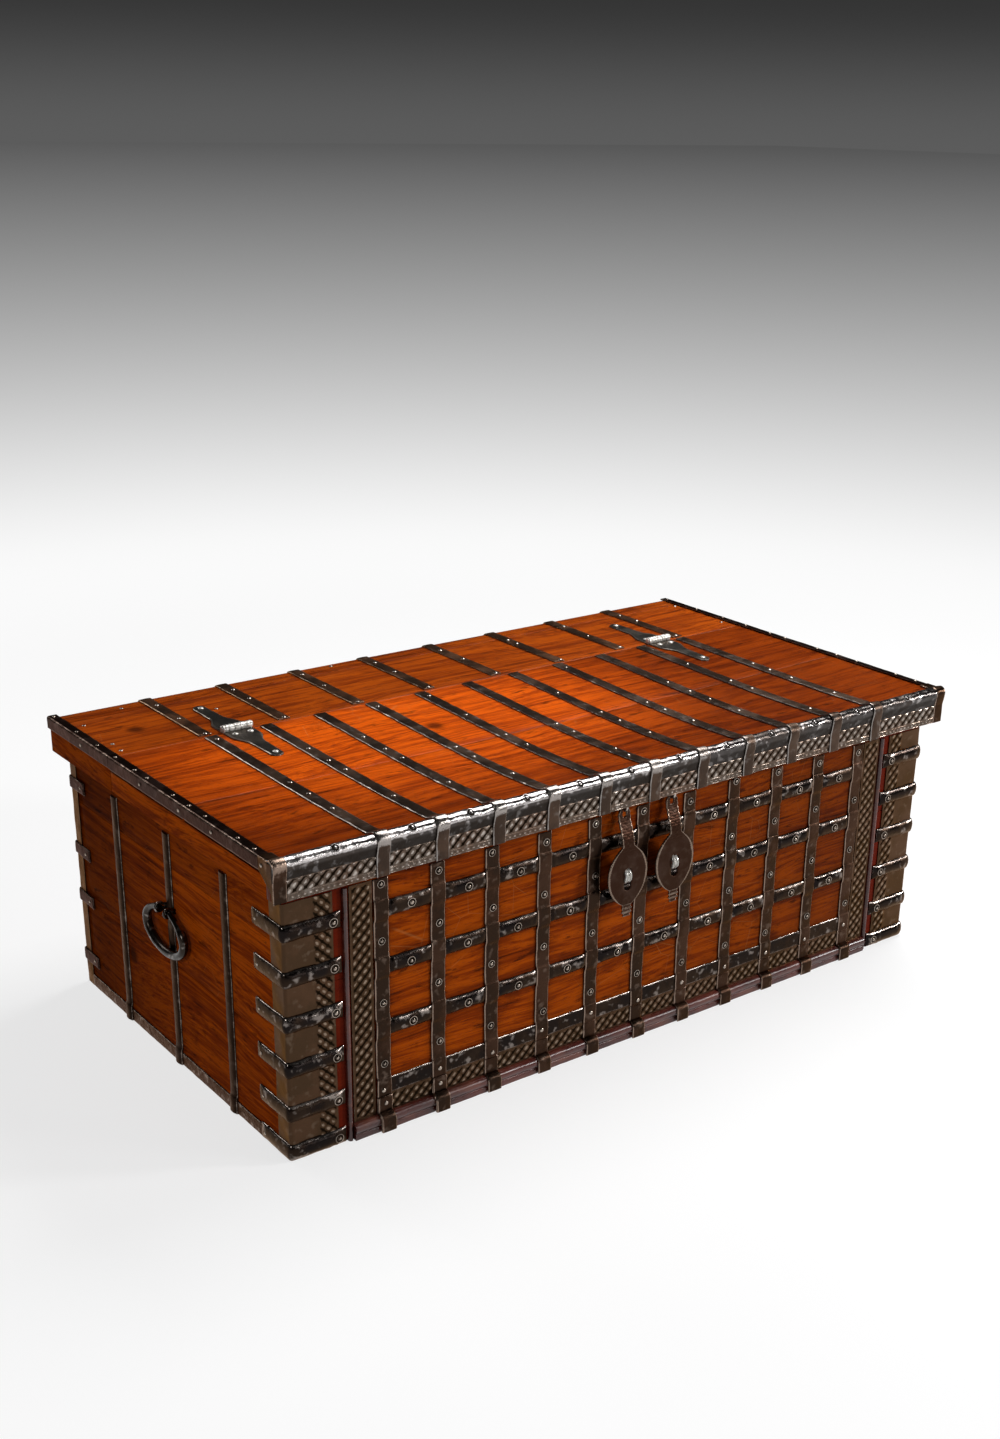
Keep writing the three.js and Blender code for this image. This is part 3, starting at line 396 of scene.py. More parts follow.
def front_tone_and_shade(points):
    """The front's tone: darker beside every strap, by dirt and painted shade, and lighter in the
    middle of each bay, darker under the lid's overhang by a painted shadow, and darker in its
    right half."""
    x, z = points[:, :1], points[:, 2:]
    beside = dirt_and_shade_beside(np.abs(x - uprights).min(1) - STRAP_WIDTH / 2, DIRT_AND_SHADE_REACH)
    above = dirt_and_shade_beside(np.abs(z - np.array(row_heights)).min(1) - ROW_WIDTH / 2, DIRT_AND_SHADE_REACH)
    painted_lid_shadow = smooth(z[:, 0], field_top - SHADED[0], field_top + SHADED[1])
    towards_right = smooth(x[:, 0], -0.35, 0.6)
    # worn: the dirt and painted shade beside the straps, times the painted shadow under the lid
    worn = (1 - 0.42 * np.maximum(beside, above)) * (1 - 0.3 * painted_lid_shadow)
    return worn * (1.06 - 0.56 * towards_right)


def front_stain(points):
    """The front's red stain: on its ends past the lattice strips."""
    off = np.abs(points[:, 0]) - stile_inner
    return 0.92 * smooth(off, -STAIN_EDGE, STAIN_EDGE)


def end_fade(points):
    """An end's tone: darker towards its back."""
    return 1.12 - 0.66 * smooth(points[:, 1], -0.12, back)


timber("front_wall", planked("front_panel", "xzy", FRONT_SEAMS, step=6 * MM), wood_along_x,
       "root", "front_panel", tones=(0.82, 0.77), fade=front_tone_and_shade, stain=front_stain)
timber("back_wall", planked("back_panel", "xzy", END_SEAMS), wood_along_x, "root",
       "back_panel", tones=(0.7, 0.8, 0.75))
# The two lower planks of each end are painted lighter than the top one: painted light where less
# light falls low down.
for side, name in SIDES:
    timber(f"{name}_wall", planked(f"{name}_panel", "yzx", END_SEAMS), wood_along_y, "root",
           f"{name}_panel", tones=(1.12, 1.14, 0.96), fade=end_fade)
low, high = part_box("bottom_panel")
seams = [low.y, *BOTTOM_SEAMS, high.y]
timber("bottom_boards", [plank((low.x, a, low.z), (high.x, b, high.z), "xyz")
                         for a, b in zip(seams[:-1], seams[1:])],
       wood_along_x, "root", "bottom_panel", tones=(0.8, 0.7))


# Mouldings on the front: a half-round bead over a flat plinth along the base, and a thin upright
# bead at each end. They are hardwood, polished a dark red, and nailed on.
def red_wood(tree):
    """Dark red polish with clouds in it, worn in dashes along the grain and along its edges."""
    clouds = noise(object_place(tree), 9.0, 5.0, 0.65)
    rubbed = noise(object_place(tree), 60.0, 4.0, 0.6, (0.2, 1, 1))
    colour = mixed(between(clouds, 0.4, 0.62), (0.045, 0.008, 0.006, 1), (0.105, 0.021, 0.014, 1))
    colour = layered(colour, (0.5 * between(rubbed, 0.52, 0.68), (0.19, 0.06, 0.035, 1)),
                     (0.4 * attribute(tree, "rim"), (0.3, 0.12, 0.08, 1)))
    return {"Base Color": colour, "Roughness": 0.3 * rubbed + 0.12, "Height": rubbed}


red_moulding = principled("red_polished_moulding", red_wood, 0.5 * MM, Coat_Weight=0.16,
                          Coat_Roughness=0.15)
MOULDING_STEP = 12 * MM


def carried(section, start, stop, axis, wander=None):
    """A closed section in the two other axes, carried along one axis. The section is an array
    (corners, 2), and the wander moves it as it goes."""
    stations = np.linspace(start, stop, max(2, round((stop - start) / MOULDING_STEP)) + 1)
    along = "xyz".index(axis)
    first, second = (k for k in range(3) if k != along)
    rings = np.empty((len(stations), len(section), 3))
    rings[..., along] = stations[:, None]
    rings[..., first] = section[:, 0]
    rings[..., second] = section[:, 1]
    if wander is not None:
        rings[..., first] += wander(stations)[:, None]
    return loft(rings)


def wavy(s, seed, wave=0.06):
    """The mean of five sine waves along s metres, with lengths and phases drawn from a seed."""
    drawn = np.random.default_rng(seed)
    waves = wave * drawn.uniform(0.3, 1.7, 5)
    phases = drawn.uniform(0, 2 * math.pi, 5)
    return np.sin(2 * math.pi * np.asarray(s)[..., None] / waves + phases).mean(-1) * 1.6


def arc(y, z, radius, first, last, steps):
    """Points on a circle round (y, z), from one angle to another in degrees."""
    angle = np.radians(np.linspace(first, last, steps + 1))
    return np.stack([y + radius * np.cos(angle), z + radius * np.sin(angle)], -1)


BEAD = 8.5 * MM
BEAD_BACKING = 3 * MM
PLINTH_HEIGHT = 8 * MM
PLINTH_DEPTH = 9 * MM
FOOT_GAP = 0.4 * MM
moulding_face = moulding_high.y
bead_z = moulding_high.z - BEAD
plinth = moulding_face - PLINTH_DEPTH
bead_section = np.concatenate([
    [[moulding_face, FOOT_GAP], [moulding_face, PLINTH_DEPTH], [moulding_face, moulding_high.z]],
    arc(moulding_face - BEAD_BACKING, bead_z, BEAD, 90, 232, 12),
    [[plinth + 1.2 * MM, PLINTH_HEIGHT + 1 * MM], [plinth + 0.3 * MM, PLINTH_HEIGHT - 0.4 * MM],
     [plinth, 5 * MM], [plinth, FOOT_GAP]],
])
piece("base_bead", carried(bead_section, moulding_low.x, moulding_high.x, "x",
                           lambda s: 0.35 * MM * wavy(s, 3)),
      red_moulding, "red_moulding", "root", "base_moulding")
for side, name in SIDES:
    low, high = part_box(f"{name}_stile_moulding")
    middle, half = (low.x + high.x) / 2, (high.x - low.x) / 2
    angle = np.radians(np.linspace(0, 180, 14))
    out = np.maximum(np.sin(angle) * (high.y - low.y), 0)
    section = np.stack([middle + half * np.cos(angle), high.y - out], -1)
    piece(f"{name}_upright_bead", carried(section, low.z, high.z, "z"), red_moulding,
          "red_moulding", "root", f"{name}_stile_moulding")


# Rear top: a wide board and a narrow one along the back edge, fixed over two aprons and a rail.
# They are the oldest looking boards.
def whole(node_name, axes, **settings):
    """The one plank that a CAD board is."""
    low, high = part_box(node_name)
    return plank(low, high, axes, **settings)


# Pale edges of the top and the lid: wear, and a painted highlight where the edges catch the light
WORN_EDGE_AND_HIGHLIGHT = (0.62, 0.31, 0.2, 1)
top_wood = hardwood("oiled_hardwood_top", (0, 0, 0), 0.4, 0.03, edge=WORN_EDGE_AND_HIGHLIGHT)
timber("rear_top", [whole("rear_top_board", "xyz"), whole("rear_slip_board", "xyz", ease=3 * MM)],
       top_wood, "root", "rear_top_board", "rear_slip_board", tones=(0.65, 0.53))
timber("rear_top_rail", [whole("rear_rail", "xzy")], wood_along_x, "root", "rear_rail",
       tones=(0.7,))
for side, name in SIDES:
    timber(f"rear_{name}_top_apron", [whole(f"rear_{name}_apron", "yzx")], wood_along_y, "root",
           f"rear_{name}_apron", tones=(1.0,))


# Lid: two long boards that have sunk in their middle, over a front rail and two aprons. Hands and
# cloths have polished the boards on the left, and a pool of light is painted there, so they are
# lighter there.
DISH = 6.5 * MM
DISH_SKEW = 1.5
BREAK_GAP = 1.2 * MM
FLAT_REAR, FLAT_SIDES = 12.4 * MM, 20 * MM
break_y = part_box("lid_rear_board")[1].y + BREAK_GAP / 2
lid_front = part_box("lid_front_board")[0].y
dish_start = break_y - FLAT_REAR
dish_half = end - FLAT_SIDES


def dish_at(x, y):
    """How far the lid has sunk: a parabola across its length, times a hump across its depth
    that is 4 k (1 - k), where k is the share of the depth to the power of the skew."""
    across = np.clip(1 - (x / dish_half) ** 2, 0, None)
    share = np.clip((dish_start - y) / (dish_start - lid_front), 0, 1) ** DISH_SKEW
    return DISH * across * 4 * share * (1 - share)


def sunk(shape, floor=0.0):
    """A shape whose points above a level follow the sunken lid."""
    points, faces, rim = shape
    points = points.copy()
    points[:, 2] -= dish_at(points[:, 0], points[:, 1]) * (points[:, 2] > floor)
    return points, faces, rim


def lid_polish_and_light(points):
    """The lid's tone: lightest round a spot left of its middle, where it is polished and a pool of
    light is painted, darker with the distance from it counted as shares of the spot's reach
    along and across the lid."""
    off = np.hypot((points[:, 0] + 0.21) / 0.52, points[:, 1] / 0.34)
    return 1.02 - 0.7 * smooth(off, 0.35, 1.2)


lid_wood = hardwood("oiled_hardwood_lid", (0, 0, 0), 0.3, 0.02, (0.66, 0.096, 0.003, 1),
                    (0.36, 0.044, 0.002, 1), WORN_EDGE_AND_HIGHLIGHT)
timber("lid_boards", [sunk(whole("lid_front_board", "xyz", ease=2 * MM)),
                      sunk(whole("lid_rear_board", "xyz"))],
       lid_wood, "lid", "lid_front_board", "lid_rear_board", tones=(0.97, 1.0), fade=lid_polish_and_light)
timber("lid_rail", [sunk(whole("lid_front_rail", "xzy"), rail_bottom + 5 * MM)], wood_along_x,
       "lid", "lid_front_rail", tones=(0.85,))
for side, name in SIDES:
    timber(f"lid_{name}_side_apron", [whole(f"lid_{name}_apron", "yzx")], wood_along_y, "lid",
           f"lid_{name}_apron", tones=(1.3,))


# Front straps: four level straps nailed to the front, the upper three round-backed in each bay,
# and eleven flat upright ones that step out over them, over the lattice band and down over the
# bead. All are forged bar, and two short laps mend the feet of the first two uprights.
# The colour of dirt in hollows and of painted shade on the iron
IRON_DIRT_AND_SHADE = (0.010, 0.006, 0.003, 1)


def wrought(place, rim, body, rust, worn, shine, metal):
    """Wrought iron that has been waxed and worn by hands: slow noise parts black from brown, the
    rim and the high spots of the hammering are rubbed bright, as is a painted highlight where a
    piece's rim puts one, fine noise pits the face, and a rim below zero darkens it and takes its
    gloss away: dirt in hollows, and painted shade where a piece's rim puts it there."""
    patches = between(noise(place, 16.0, 5.0, 0.62), 0.42, 0.62)
    hammer = noise(place, 75.0, 2.0, 0.5)
    pits = noise(place, 520.0, 3.0, 0.6)
    rub = between(0.9 * (pits - 0.5) + rim + 0.8 * (hammer - 0.5), 0.55, 1.0)
    high = between(hammer, 0.56, 0.72) * shine
    # Dirt in hollows, and painted shade on lower halves; it is kept metallic so that it reflects
    # little
    dirt = between(rim, -0.5, 0.0, 1.0, 0.0)
    colour = layered(mixed(patches, body, rust), (0.55 * high, worn), (0.8 * rub, worn),
                     (dirt, IRON_DIRT_AND_SHADE))
    rough = 0.14 * patches + 0.28 - 0.08 * rub + 0.4 * dirt - 0.16 * shine + 0.16 * pits
    bare = maths("MAXIMUM", metal - 0.3 * patches, rub)
    return {"Color": colour, "Roughness": rough, "Metallic": maths("MAXIMUM", bare, dirt),
            "Height": 0.28 * pits + hammer}


WROUGHT = node_group(
    "wrought_iron",
    {"Place": "Vector", "Rim": "Float", "Body": "Color", "Rust": "Color", "Worn": "Color",
     "Shine": "Float", "Metal": "Float"},
    {"Color": "Color", "Roughness": "Float", "Metallic": "Float", "Height": "Float"}, wrought)


def iron_finish(name, body, rust, worn, shine, metal, bump=0.9 * MM, tint=(1, 0.8, 0.66, 1)):
    """A finish of wrought iron: how dark it is, its rust, its rubbed edges and its shine. The
    tint is that of the wax on it, which shows at a low angle."""
    def wiring(tree):
        iron = from_group(tree, WROUGHT, Place=object_place(tree), Rim=attribute(tree, "rim"),
                          Body=body, Rust=rust, Worn=worn, Shine=shine, Metal=metal)
        return {"Base Color": iron.pop("Color"), **iron}
    return principled(name, wiring, bump, Specular_Tint=tint)


strap_iron = iron_finish("dark_wrought_iron", (0.024, 0.0145, 0.010, 1), (0.036, 0.017, 0.010, 1),
                         (0.29, 0.21, 0.165, 1), 0.35, 1.12, tint=(1, 0.72, 0.56, 1))

# A strap's section, as shares of its half width and of its thickness, and how rubbed it is there
FLAT_ACROSS = np.array([-1, -1, -0.91, -0.8, -0.3, 0.3, 0.8, 0.91, 1, 1])
FLAT_RISE = np.array([0, 0.62, 0.93, 1, 1.06, 1.06, 1, 0.93, 0.62, 0])
FLAT_RIM = np.array([0.4, 1, 1, 0.1, 0, 0, 0.1, 1, 1, 0.4])
FLAT = (FLAT_ACROSS, FLAT_RISE, FLAT_RIM)
IRON = 2.5 * MM
SHEET = 1.5 * MM
SEAT = 0.3 * MM
END_EASE = 0.8 * MM


def rounded(line, radius):
    """A line of points with its inner corners rounded: each is swapped for a parabola between
    points that lie the radius, or less than half a stretch, before and after it."""
    line = np.asarray(line, float)
    parts = [line[:1]]
    t = np.linspace(0, 1, 5)[:, None]
    for before, corner, after in zip(line[:-2], line[1:-1], line[2:]):
        reach = [min(radius / np.linalg.norm(other - corner), 0.45) for other in (before, after)]
        start = corner + (before - corner) * reach[0]
        stop = corner + (after - corner) * reach[1]
        parts.append((1 - t) ** 2 * start + 2 * t * (1 - t) * corner + t ** 2 * stop)
    return np.concatenate(parts + [line[-1:]])


def paced(line, step):
    """A line of points with more put between them, and one close to each end."""
    gone = np.concatenate([[0], np.cumsum(np.linalg.norm(np.diff(line, axis=0), axis=1))])
    ends = [END_EASE, gone[-1] - END_EASE]
    stations = np.unique(np.concatenate([gone, np.arange(0, gone[-1], step), ends]))
    keep = np.concatenate([[True], np.diff(stations) > 0.3 * MM])
    keep[-1] = True
    stations = stations[keep]
    return np.stack([np.interp(stations, gone, line[:, k]) for k in range(3)], -1), stations


def strap(line, across, width, thick, seed, section=FLAT, step=5 * MM, wander=0.4 * MM,
          taper=None, bevel=0.3, crown=None, shine=None):
    """Bar iron carried along a line of its underside's middle. Its face looks along the cross
    product of the way it runs and the way its width runs. Its edges and face wander by sums of
    sine waves, as hammer work does. A taper may change its width along the way, a crown rounds
    its back, by a height that falls to nothing at its edges as 1 - share ** 2, and a shine says
    how rubbed it is at each point, where it may also paint a highlight."""
    across = np.array(across, float)
    at, gone = paced(np.asarray(line, float), step)
    run = np.gradient(at, gone, axis=0)
    out = np.cross(run, across)
    out /= np.linalg.norm(out, axis=1)[:, None]
    share_across, share_rise, rim = section
    half = width / 2 * (np.ones(len(at)) if taper is None else taper(gone / gone[-1]))
    edges = np.where(share_across < 0, wavy(gone, seed)[:, None], wavy(gone, seed + 500)[:, None])
    reach = half[:, None] * share_across + wander * edges
    rise = thick * np.broadcast_to(share_rise, reach.shape).copy()
    lumps = np.stack([wavy(gone, seed + 40 * k, 0.035) for k in range(len(share_rise))], 1)
    rise += 0.12 * MM * lumps * (share_rise > 0.5)
    if crown is not None:
        rise += crown(gone)[:, None] * (1 - share_across ** 2)
    ends = np.zeros(len(at))
    ends[[0, -1]] = 1
    rise *= 1 - bevel * ends[:, None]
    rings = at[:, None] + reach[..., None] * across + rise[..., None] * out[:, None]
    rubbed_there = ends * 0.8 if shine is None else shine(at)
    return loft(rings, np.maximum(rim, rubbed_there[:, None]))


JOGGLE, BEND = 5 * MM, 4 * MM
WELD = 0.2 * MM
STRAP_FOOT = 1 * MM
band_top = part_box("lattice_band")[1].z


def at_x(x, line):
    """A line in (y, z) as points in space, all at one x."""
    return np.insert(line, 0, x, axis=1)


def upright_line(x, top, lift=0.0):
    """The line of an upright strap down the front, lifted off what it lies on: it steps out over
    each level strap and over the band, and follows the bead to the floor."""
    over = IRON - WELD
    over_band = SHEET + SEAT
    points = []
    for row in row_heights:
        upper, lower = row + ROW_WIDTH / 2, row - ROW_WIDTH / 2
        points += [(0, upper + JOGGLE), (over, upper), (over, lower), (0, lower - JOGGLE)]
    points[-1] = (over_band, band_top)
    start = (0 if top > band_top + JOGGLE else over_band, top)
    points = [start, *[(o, z) for o, z in points if z < top]]
    line = np.array([(front - SEAT - lift - o, z) for o, z in points])
    bead = BEAD + SEAT + lift
    meet = math.degrees(math.acos((over_band + lift - BEAD_BACKING) / bead))
    middle = front - BEAD_BACKING - SEAT
    line = np.concatenate([rounded(line, BEND), arc(middle, bead_z, bead, 180 - meet, 180, 6),
                           [[middle - bead, STRAP_FOOT]]])
    return at_x(x, line)


ALONG_X, ALONG_Y, ALONG_Z = np.eye(3)
row_end = upright_reach + STRAP_WIDTH / 3
ROW_CROWN = 4.2 * MM


def bay_crown(gone):
    """The round back of a level strap: full in each bay and flat where an upright crosses."""
    off = np.abs(gone[:, None] - row_end - uprights).min(1)
    return ROW_CROWN * smooth(off, STRAP_WIDTH / 2, STRAP_WIDTH / 2 + BEND)


# A broader section for round-backed bars: shares of the half width and thickness, and the rim,
# which rubs their upper half bright, as wear and a painted highlight, and paints shade on the
# lower one
ROUND_BACK = (np.array([-1, -1, -0.95, -0.84, -0.62, -0.22, 0.22, 0.62, 0.84, 0.95, 1, 1]),
              np.array([0, 0.35, 0.62, 0.82, 0.95, 1, 1, 0.95, 0.82, 0.62, 0.35, 0]),
              np.array([-0.3, -0.3, -0.3, -0.3, -0.25, -0.15, 0, 0.35, 0.75, 0.9, 0.8, 0.4]))
ROUND_ROWS = 3
front_rows = joined(
    strap([(-row_end, front - SEAT, z), (row_end, front - SEAT, z)], ALONG_Z, ROW_WIDTH, IRON,
          seed=20 + k, section=ROUND_BACK if k < ROUND_ROWS else FLAT, step=4 * MM,
          crown=bay_crown if k < ROUND_ROWS else None)
    for k, z in enumerate(row_heights))
front_uprights = joined(
    strap(upright_line(x, field_top), ALONG_X, STRAP_WIDTH, IRON, seed=100 + k)
    for k, x in enumerate(uprights))
front_laps = joined(
    strap(upright_line(x, band_top - 1.2 * MM, IRON - WELD), ALONG_X, STRAP_WIDTH - 0.6 * MM,
          IRON, seed=140 + k)
    for k, x in enumerate(uprights[:2]))
round_iron = iron_finish("polished_round_iron", (0.012, 0.0095, 0.009, 1), (0.02, 0.012, 0.008, 1),
                         (0.36, 0.31, 0.28, 1), 0.9, 1.2, 0.45 * MM)
piece("front_level_straps", front_rows, round_iron, "dark_iron", "root", "front_straps")
piece("front_upright_straps", front_uprights, strap_iron, "dark_iron", "root")
piece("front_mending_laps", front_laps, strap_iron, "dark_iron", "root")


# Rivets of the front: ringed heads with a dome, one in each bay of the upper three level straps
# and four up each upright, over a plain nail at its foot. Their heads are rubbed bright.
def studs(places, outs, profile, rim, sides=12):
    """Round heads turned from one profile of (radius, height) and rubbed along it by the rim, one
    at each place. Each stands on a face that looks along its out vector, or the one they share."""
    places = np.array(places)
    outs = np.broadcast_to(outs, places.shape)
    outs = outs / np.linalg.norm(outs, axis=1)[:, None]
    helper = np.where(np.abs(outs[:, 2:]) > 0.7, ALONG_X, ALONG_Z)
    right = np.cross(helper, outs)
    right /= np.linalg.norm(right, axis=1)[:, None]
    up = np.cross(outs, right)
    angle = np.linspace(0, 2 * math.pi, sides, endpoint=False)
    ring = profile[:, :1, None] * np.stack([np.cos(angle), np.sin(angle)], -1)
    ring = np.broadcast_to(ring, (len(profile), sides, 2))
    shapes = []
    for place, r, u, o in zip(places, right, up, outs):
        rings = place + ring[..., :1] * r + ring[..., 1:] * u + profile[:, 1, None, None] * o
        shapes.append(loft(rings, np.array(rim)[:, None]))
    return joined(shapes)


RINGED = np.array([(7.2, -0.6), (7.2, 0.6), (6.8, 1.4), (6.0, 1.5), (5.4, 0.5), (3.9, 0.5),
                   (3.5, 1.4), (2.8, 2.3), (1.6, 2.9), (0.4, 3.1)]) * MM
RINGED_RIM = (0, 0.6, 1, 0.9, -0.5, -0.5, 0.0, 0.6, 0.9, 0.9)
NAIL = np.array([(3.6, -0.3), (3.6, 0.5), (3.0, 1.2), (1.9, 1.7), (0.4, 1.9)]) * MM
NAIL_RIM = (0.2, 0.6, 0.9, 1, 1)
FORWARD, UPWARD = (0, -1, 0), (0, 0, 1)
head_iron = iron_finish("rubbed_rivet_iron", (0.045, 0.034, 0.027, 1), (0.045, 0.027, 0.018, 1),
                        (0.47, 0.4, 0.34, 1), 0.45, 0.95, 0.5 * MM)
UPRIGHT_RIVETS = (0.384, 0.300, 0.206, 0.106)
FOOT_NAIL, LAP_NAIL = 0.064, 0.043
upright_face = front - SEAT - IRON
row_face = front - SEAT - IRON - 0.86 * ROW_CROWN
pitch = uprights[1] - uprights[0]
scatter = np.random.default_rng(11)
ring_places = [(x + pitch / 2 + scatter.normal(0, 2 * MM), row_face,
                z + scatter.normal(0, 0.7 * MM)) for z in row_heights[:ROUND_ROWS]
               for x in uprights[:-1]]
upright_places = [(x + scatter.normal(0, 1.2 * MM), upright_face, z + scatter.normal(0, 3 * MM))
                  for x in uprights for z in UPRIGHT_RIVETS]
foot_places = [(x + scatter.normal(0, 1.2 * MM), upright_face - (IRON - WELD),
                FOOT_NAIL + scatter.normal(0, 3 * MM)) for x in uprights]
foot_places += [(x, front - SEAT - SHEET - 2 * IRON, LAP_NAIL) for x in uprights[:2]]
piece("front_rivets", joined([
    studs(ring_places, FORWARD, RINGED, RINGED_RIM),
    studs(upright_places, FORWARD, RINGED * (0.86, 0.8), RINGED_RIM),
    studs(foot_places, FORWARD, NAIL, NAIL_RIM, 10),
]), head_iron, "dark_iron", "root")


# Lattice strips: thin sheet iron, punched from behind with rows of diamonds and nailed flat. Two
# stand beside the outermost uprights, and a band lies between the bead and the last level strap.
def diamonds(u, v, size):
    """Height of the punched lattice, 0 to 1: the product of two sine ridges that cross on the
    diagonals, so that a diamond rises between grooves where u + v or u - v is a whole number of
    sizes. Its root fills the diamonds out."""
    ridge = np.abs(np.sin(math.pi * (u + v) / size) * np.sin(math.pi * (u - v) / size))
    return ridge ** 0.62


def rubbed(u, v, size, inside):
    """How bright the lattice is: a painted highlight along one diagonal of each diamond, and dark
    in the grooves, with dirt and painted shade. It is the product of the two sine ridges again,
    one made narrower by a power, one broader."""
    narrow = np.abs(np.sin(math.pi * (u + v) / size)) ** 1.5
    broad = np.abs(np.sin(math.pi * (u - v) / size)) ** 0.42
    return np.clip(1.9 * narrow * broad - 0.8, -0.5, 1) * inside


DIAMOND = 16.7 * MM
EMBOSS = 1.2 * MM
NET_STEP = 1.1 * MM
STRIP_MARGIN, BAND_MARGIN = 3 * MM, 1.5 * MM


def sheet_iron(line, across, start, stop, height, step, thick=SHEET):
    """Sheet or angle iron: the line of its underside is carried along the axis across, from
    start to stop. Its face stands off by the thickness and a height, and looks along the cross
    product of the line's run and the axis. A skirt round the edge joins face and back."""
    across = np.array(across, float)
    at, gone = paced(np.asarray(line, float), step)
    out = np.cross(np.gradient(at, gone, axis=0), across)
    out /= np.linalg.norm(out, axis=1)[:, None]
    stations = np.linspace(start, stop, max(2, round((stop - start) / step)) + 1)
    under = at + stations[:, None, None] * across
    run, along = np.broadcast_arrays(gone, stations[:, None])
    raised, rim = height(run, along, under)
    face = under + (thick + raised)[..., None] * out
    return loft(np.concatenate([face, under[:, ::-1]], 1), np.concatenate([rim, 0 * rim], 1))


def lattice(middle, half, length, margin, shift):
    """The punched net's height and shine, which is its painted highlight and shade, inside a plain
    margin, on a sheet that reaches half a width each way from its middle and hangs down its
    length."""
    def height(down, x, at):
        edge = np.minimum(half - np.abs(x - middle), np.minimum(down, length - down))
        inside = np.clip((edge - margin) / (1.5 * MM), 0, 1)
        raised = diamonds(x - middle + shift, down, DIAMOND) * inside
        lumps = 0.12 * MM * wavy(x * 3 + down * 5, 71, 0.05)
        border = np.clip(1 - edge / (1.2 * MM), 0, 1)
        shine = rubbed(x - middle + shift, down, DIAMOND, inside)
        return EMBOSS * raised + lumps, np.where(border > 0, np.maximum(shine, 0.7 * border), shine)
    return height


def punched_sheet(node_name, height):
    """Sheet iron that hangs flat on the wood behind a CAD strip, from its top edge down."""
    low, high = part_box(node_name)
    return sheet_iron([(0, high.y, high.z), (0, high.y, low.z)], ALONG_X, low.x, high.x, height,
                      NET_STEP)


embossed_iron = iron_finish("embossed_sheet_iron", (0.05, 0.028, 0.015, 1),
                            (0.06, 0.029, 0.014, 1), (0.28, 0.21, 0.155, 1), 0.3, 0.9, 0.3 * MM,
                            (1, 0.66, 0.45, 1))
for node_name, piece_name, margin, shift in (
        ("left_lattice_strip", "left_punched_strip", STRIP_MARGIN, DIAMOND / 4),
        ("right_lattice_strip", "right_punched_strip", STRIP_MARGIN, DIAMOND / 4),
        ("lattice_band", "punched_band", BAND_MARGIN, 0)):
    low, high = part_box(node_name)
    net = lattice((low.x + high.x) / 2, (high.x - low.x) / 2, high.z - low.z, margin, shift)
    piece(piece_name, punched_sheet(node_name, net), embossed_iron, "embossed_iron", "root",
          node_name)


# Corner bindings: an angle of sheet iron is nailed up each corner, and straps are bent round it.
# The front plates have a punched column along their inner edge; the back ones are narrow.
CORNER_CROWN = 4.4 * MM
LEG_SHARE = 0.45
FRONT_PLATE, BACK_PLATE = (76 * MM, 32 * MM), (30 * MM, 22 * MM)
COLUMN = (45 * MM, 74 * MM)
CORNER_STRAP, STANDS_OUT = 25 * MM, 4 * MM
CORNER_BEND, PLATE_FOOT = 3 * MM, 1 * MM
BACK_STRAP, BACK_STRAP_IRON, BACK_STRAP_LEG = 20 * MM, 2.6 * MM, 52 * MM
RIVET_OFF, FRONT_NAIL_OFF, BACK_NAIL_OFF = 73 * MM, 64 * MM, 40 * MM


def corner_crown(gone):
    """The round back of a front corner strap: full on its front leg, half of that on its side
    leg, and less towards its two tips."""
    share = gone / gone[-1]
    tips = smooth(share, 0, 0.06) * (1 - smooth(share, 0.94, 1))
    return CORNER_CROWN * tips * (0.5 + 0.5 * smooth(share, LEG_SHARE, LEG_SHARE + 0.1))


def turned_corner_crown(gone):
    """The same for a strap whose line starts on its front leg."""
    return corner_crown((gone[-1] - gone)[::-1])[::-1]


def corner_line(side, toward, legs, lift, z=0.0):
    """A line round a corner of the carcass, a lift away from it, with a leg along the front or
    back and one along the end. Its cross product with the upward axis looks outwards."""
    leg_x, leg_y = legs
    face = front if toward < 0 else back
    corner = (side * (end + lift), face + toward * lift, z)
    on_side = (corner[0], face - toward * leg_y, z)
    on_face = (side * (end - leg_x), corner[1], z)
    line = [on_side, corner, on_face]
    return rounded(line if side * toward > 0 else line[::-1], CORNER_BEND)


def corner_plate(side, toward, legs, top, column=None):
    """An angle of sheet iron with dents, and a punched column between two distances from the
    corner along its front leg, with the lattice's painted highlight and shade."""
    line = corner_line(side, toward, legs, SEAT)

    def height(gone, z, at):
        off = end - np.abs(at[..., 0])
        dents = 0.3 * MM * wavy(gone * 1.3 + z * 0.8, 31 + side, 0.08)
        if not column:
            return dents, np.zeros_like(z)
        inside = np.clip((off - column[0]) / (2 * MM), 0, 1)
        inside *= np.clip((column[1] - off) / (2 * MM), 0, 1)
        raised = diamonds(off, z, DIAMOND) * inside
        return EMBOSS * raised + dents, rubbed(off, z, DIAMOND, inside)
    return sheet_iron(line, ALONG_Z, PLATE_FOOT, top, height, 1.5 * MM if column else 5 * MM)


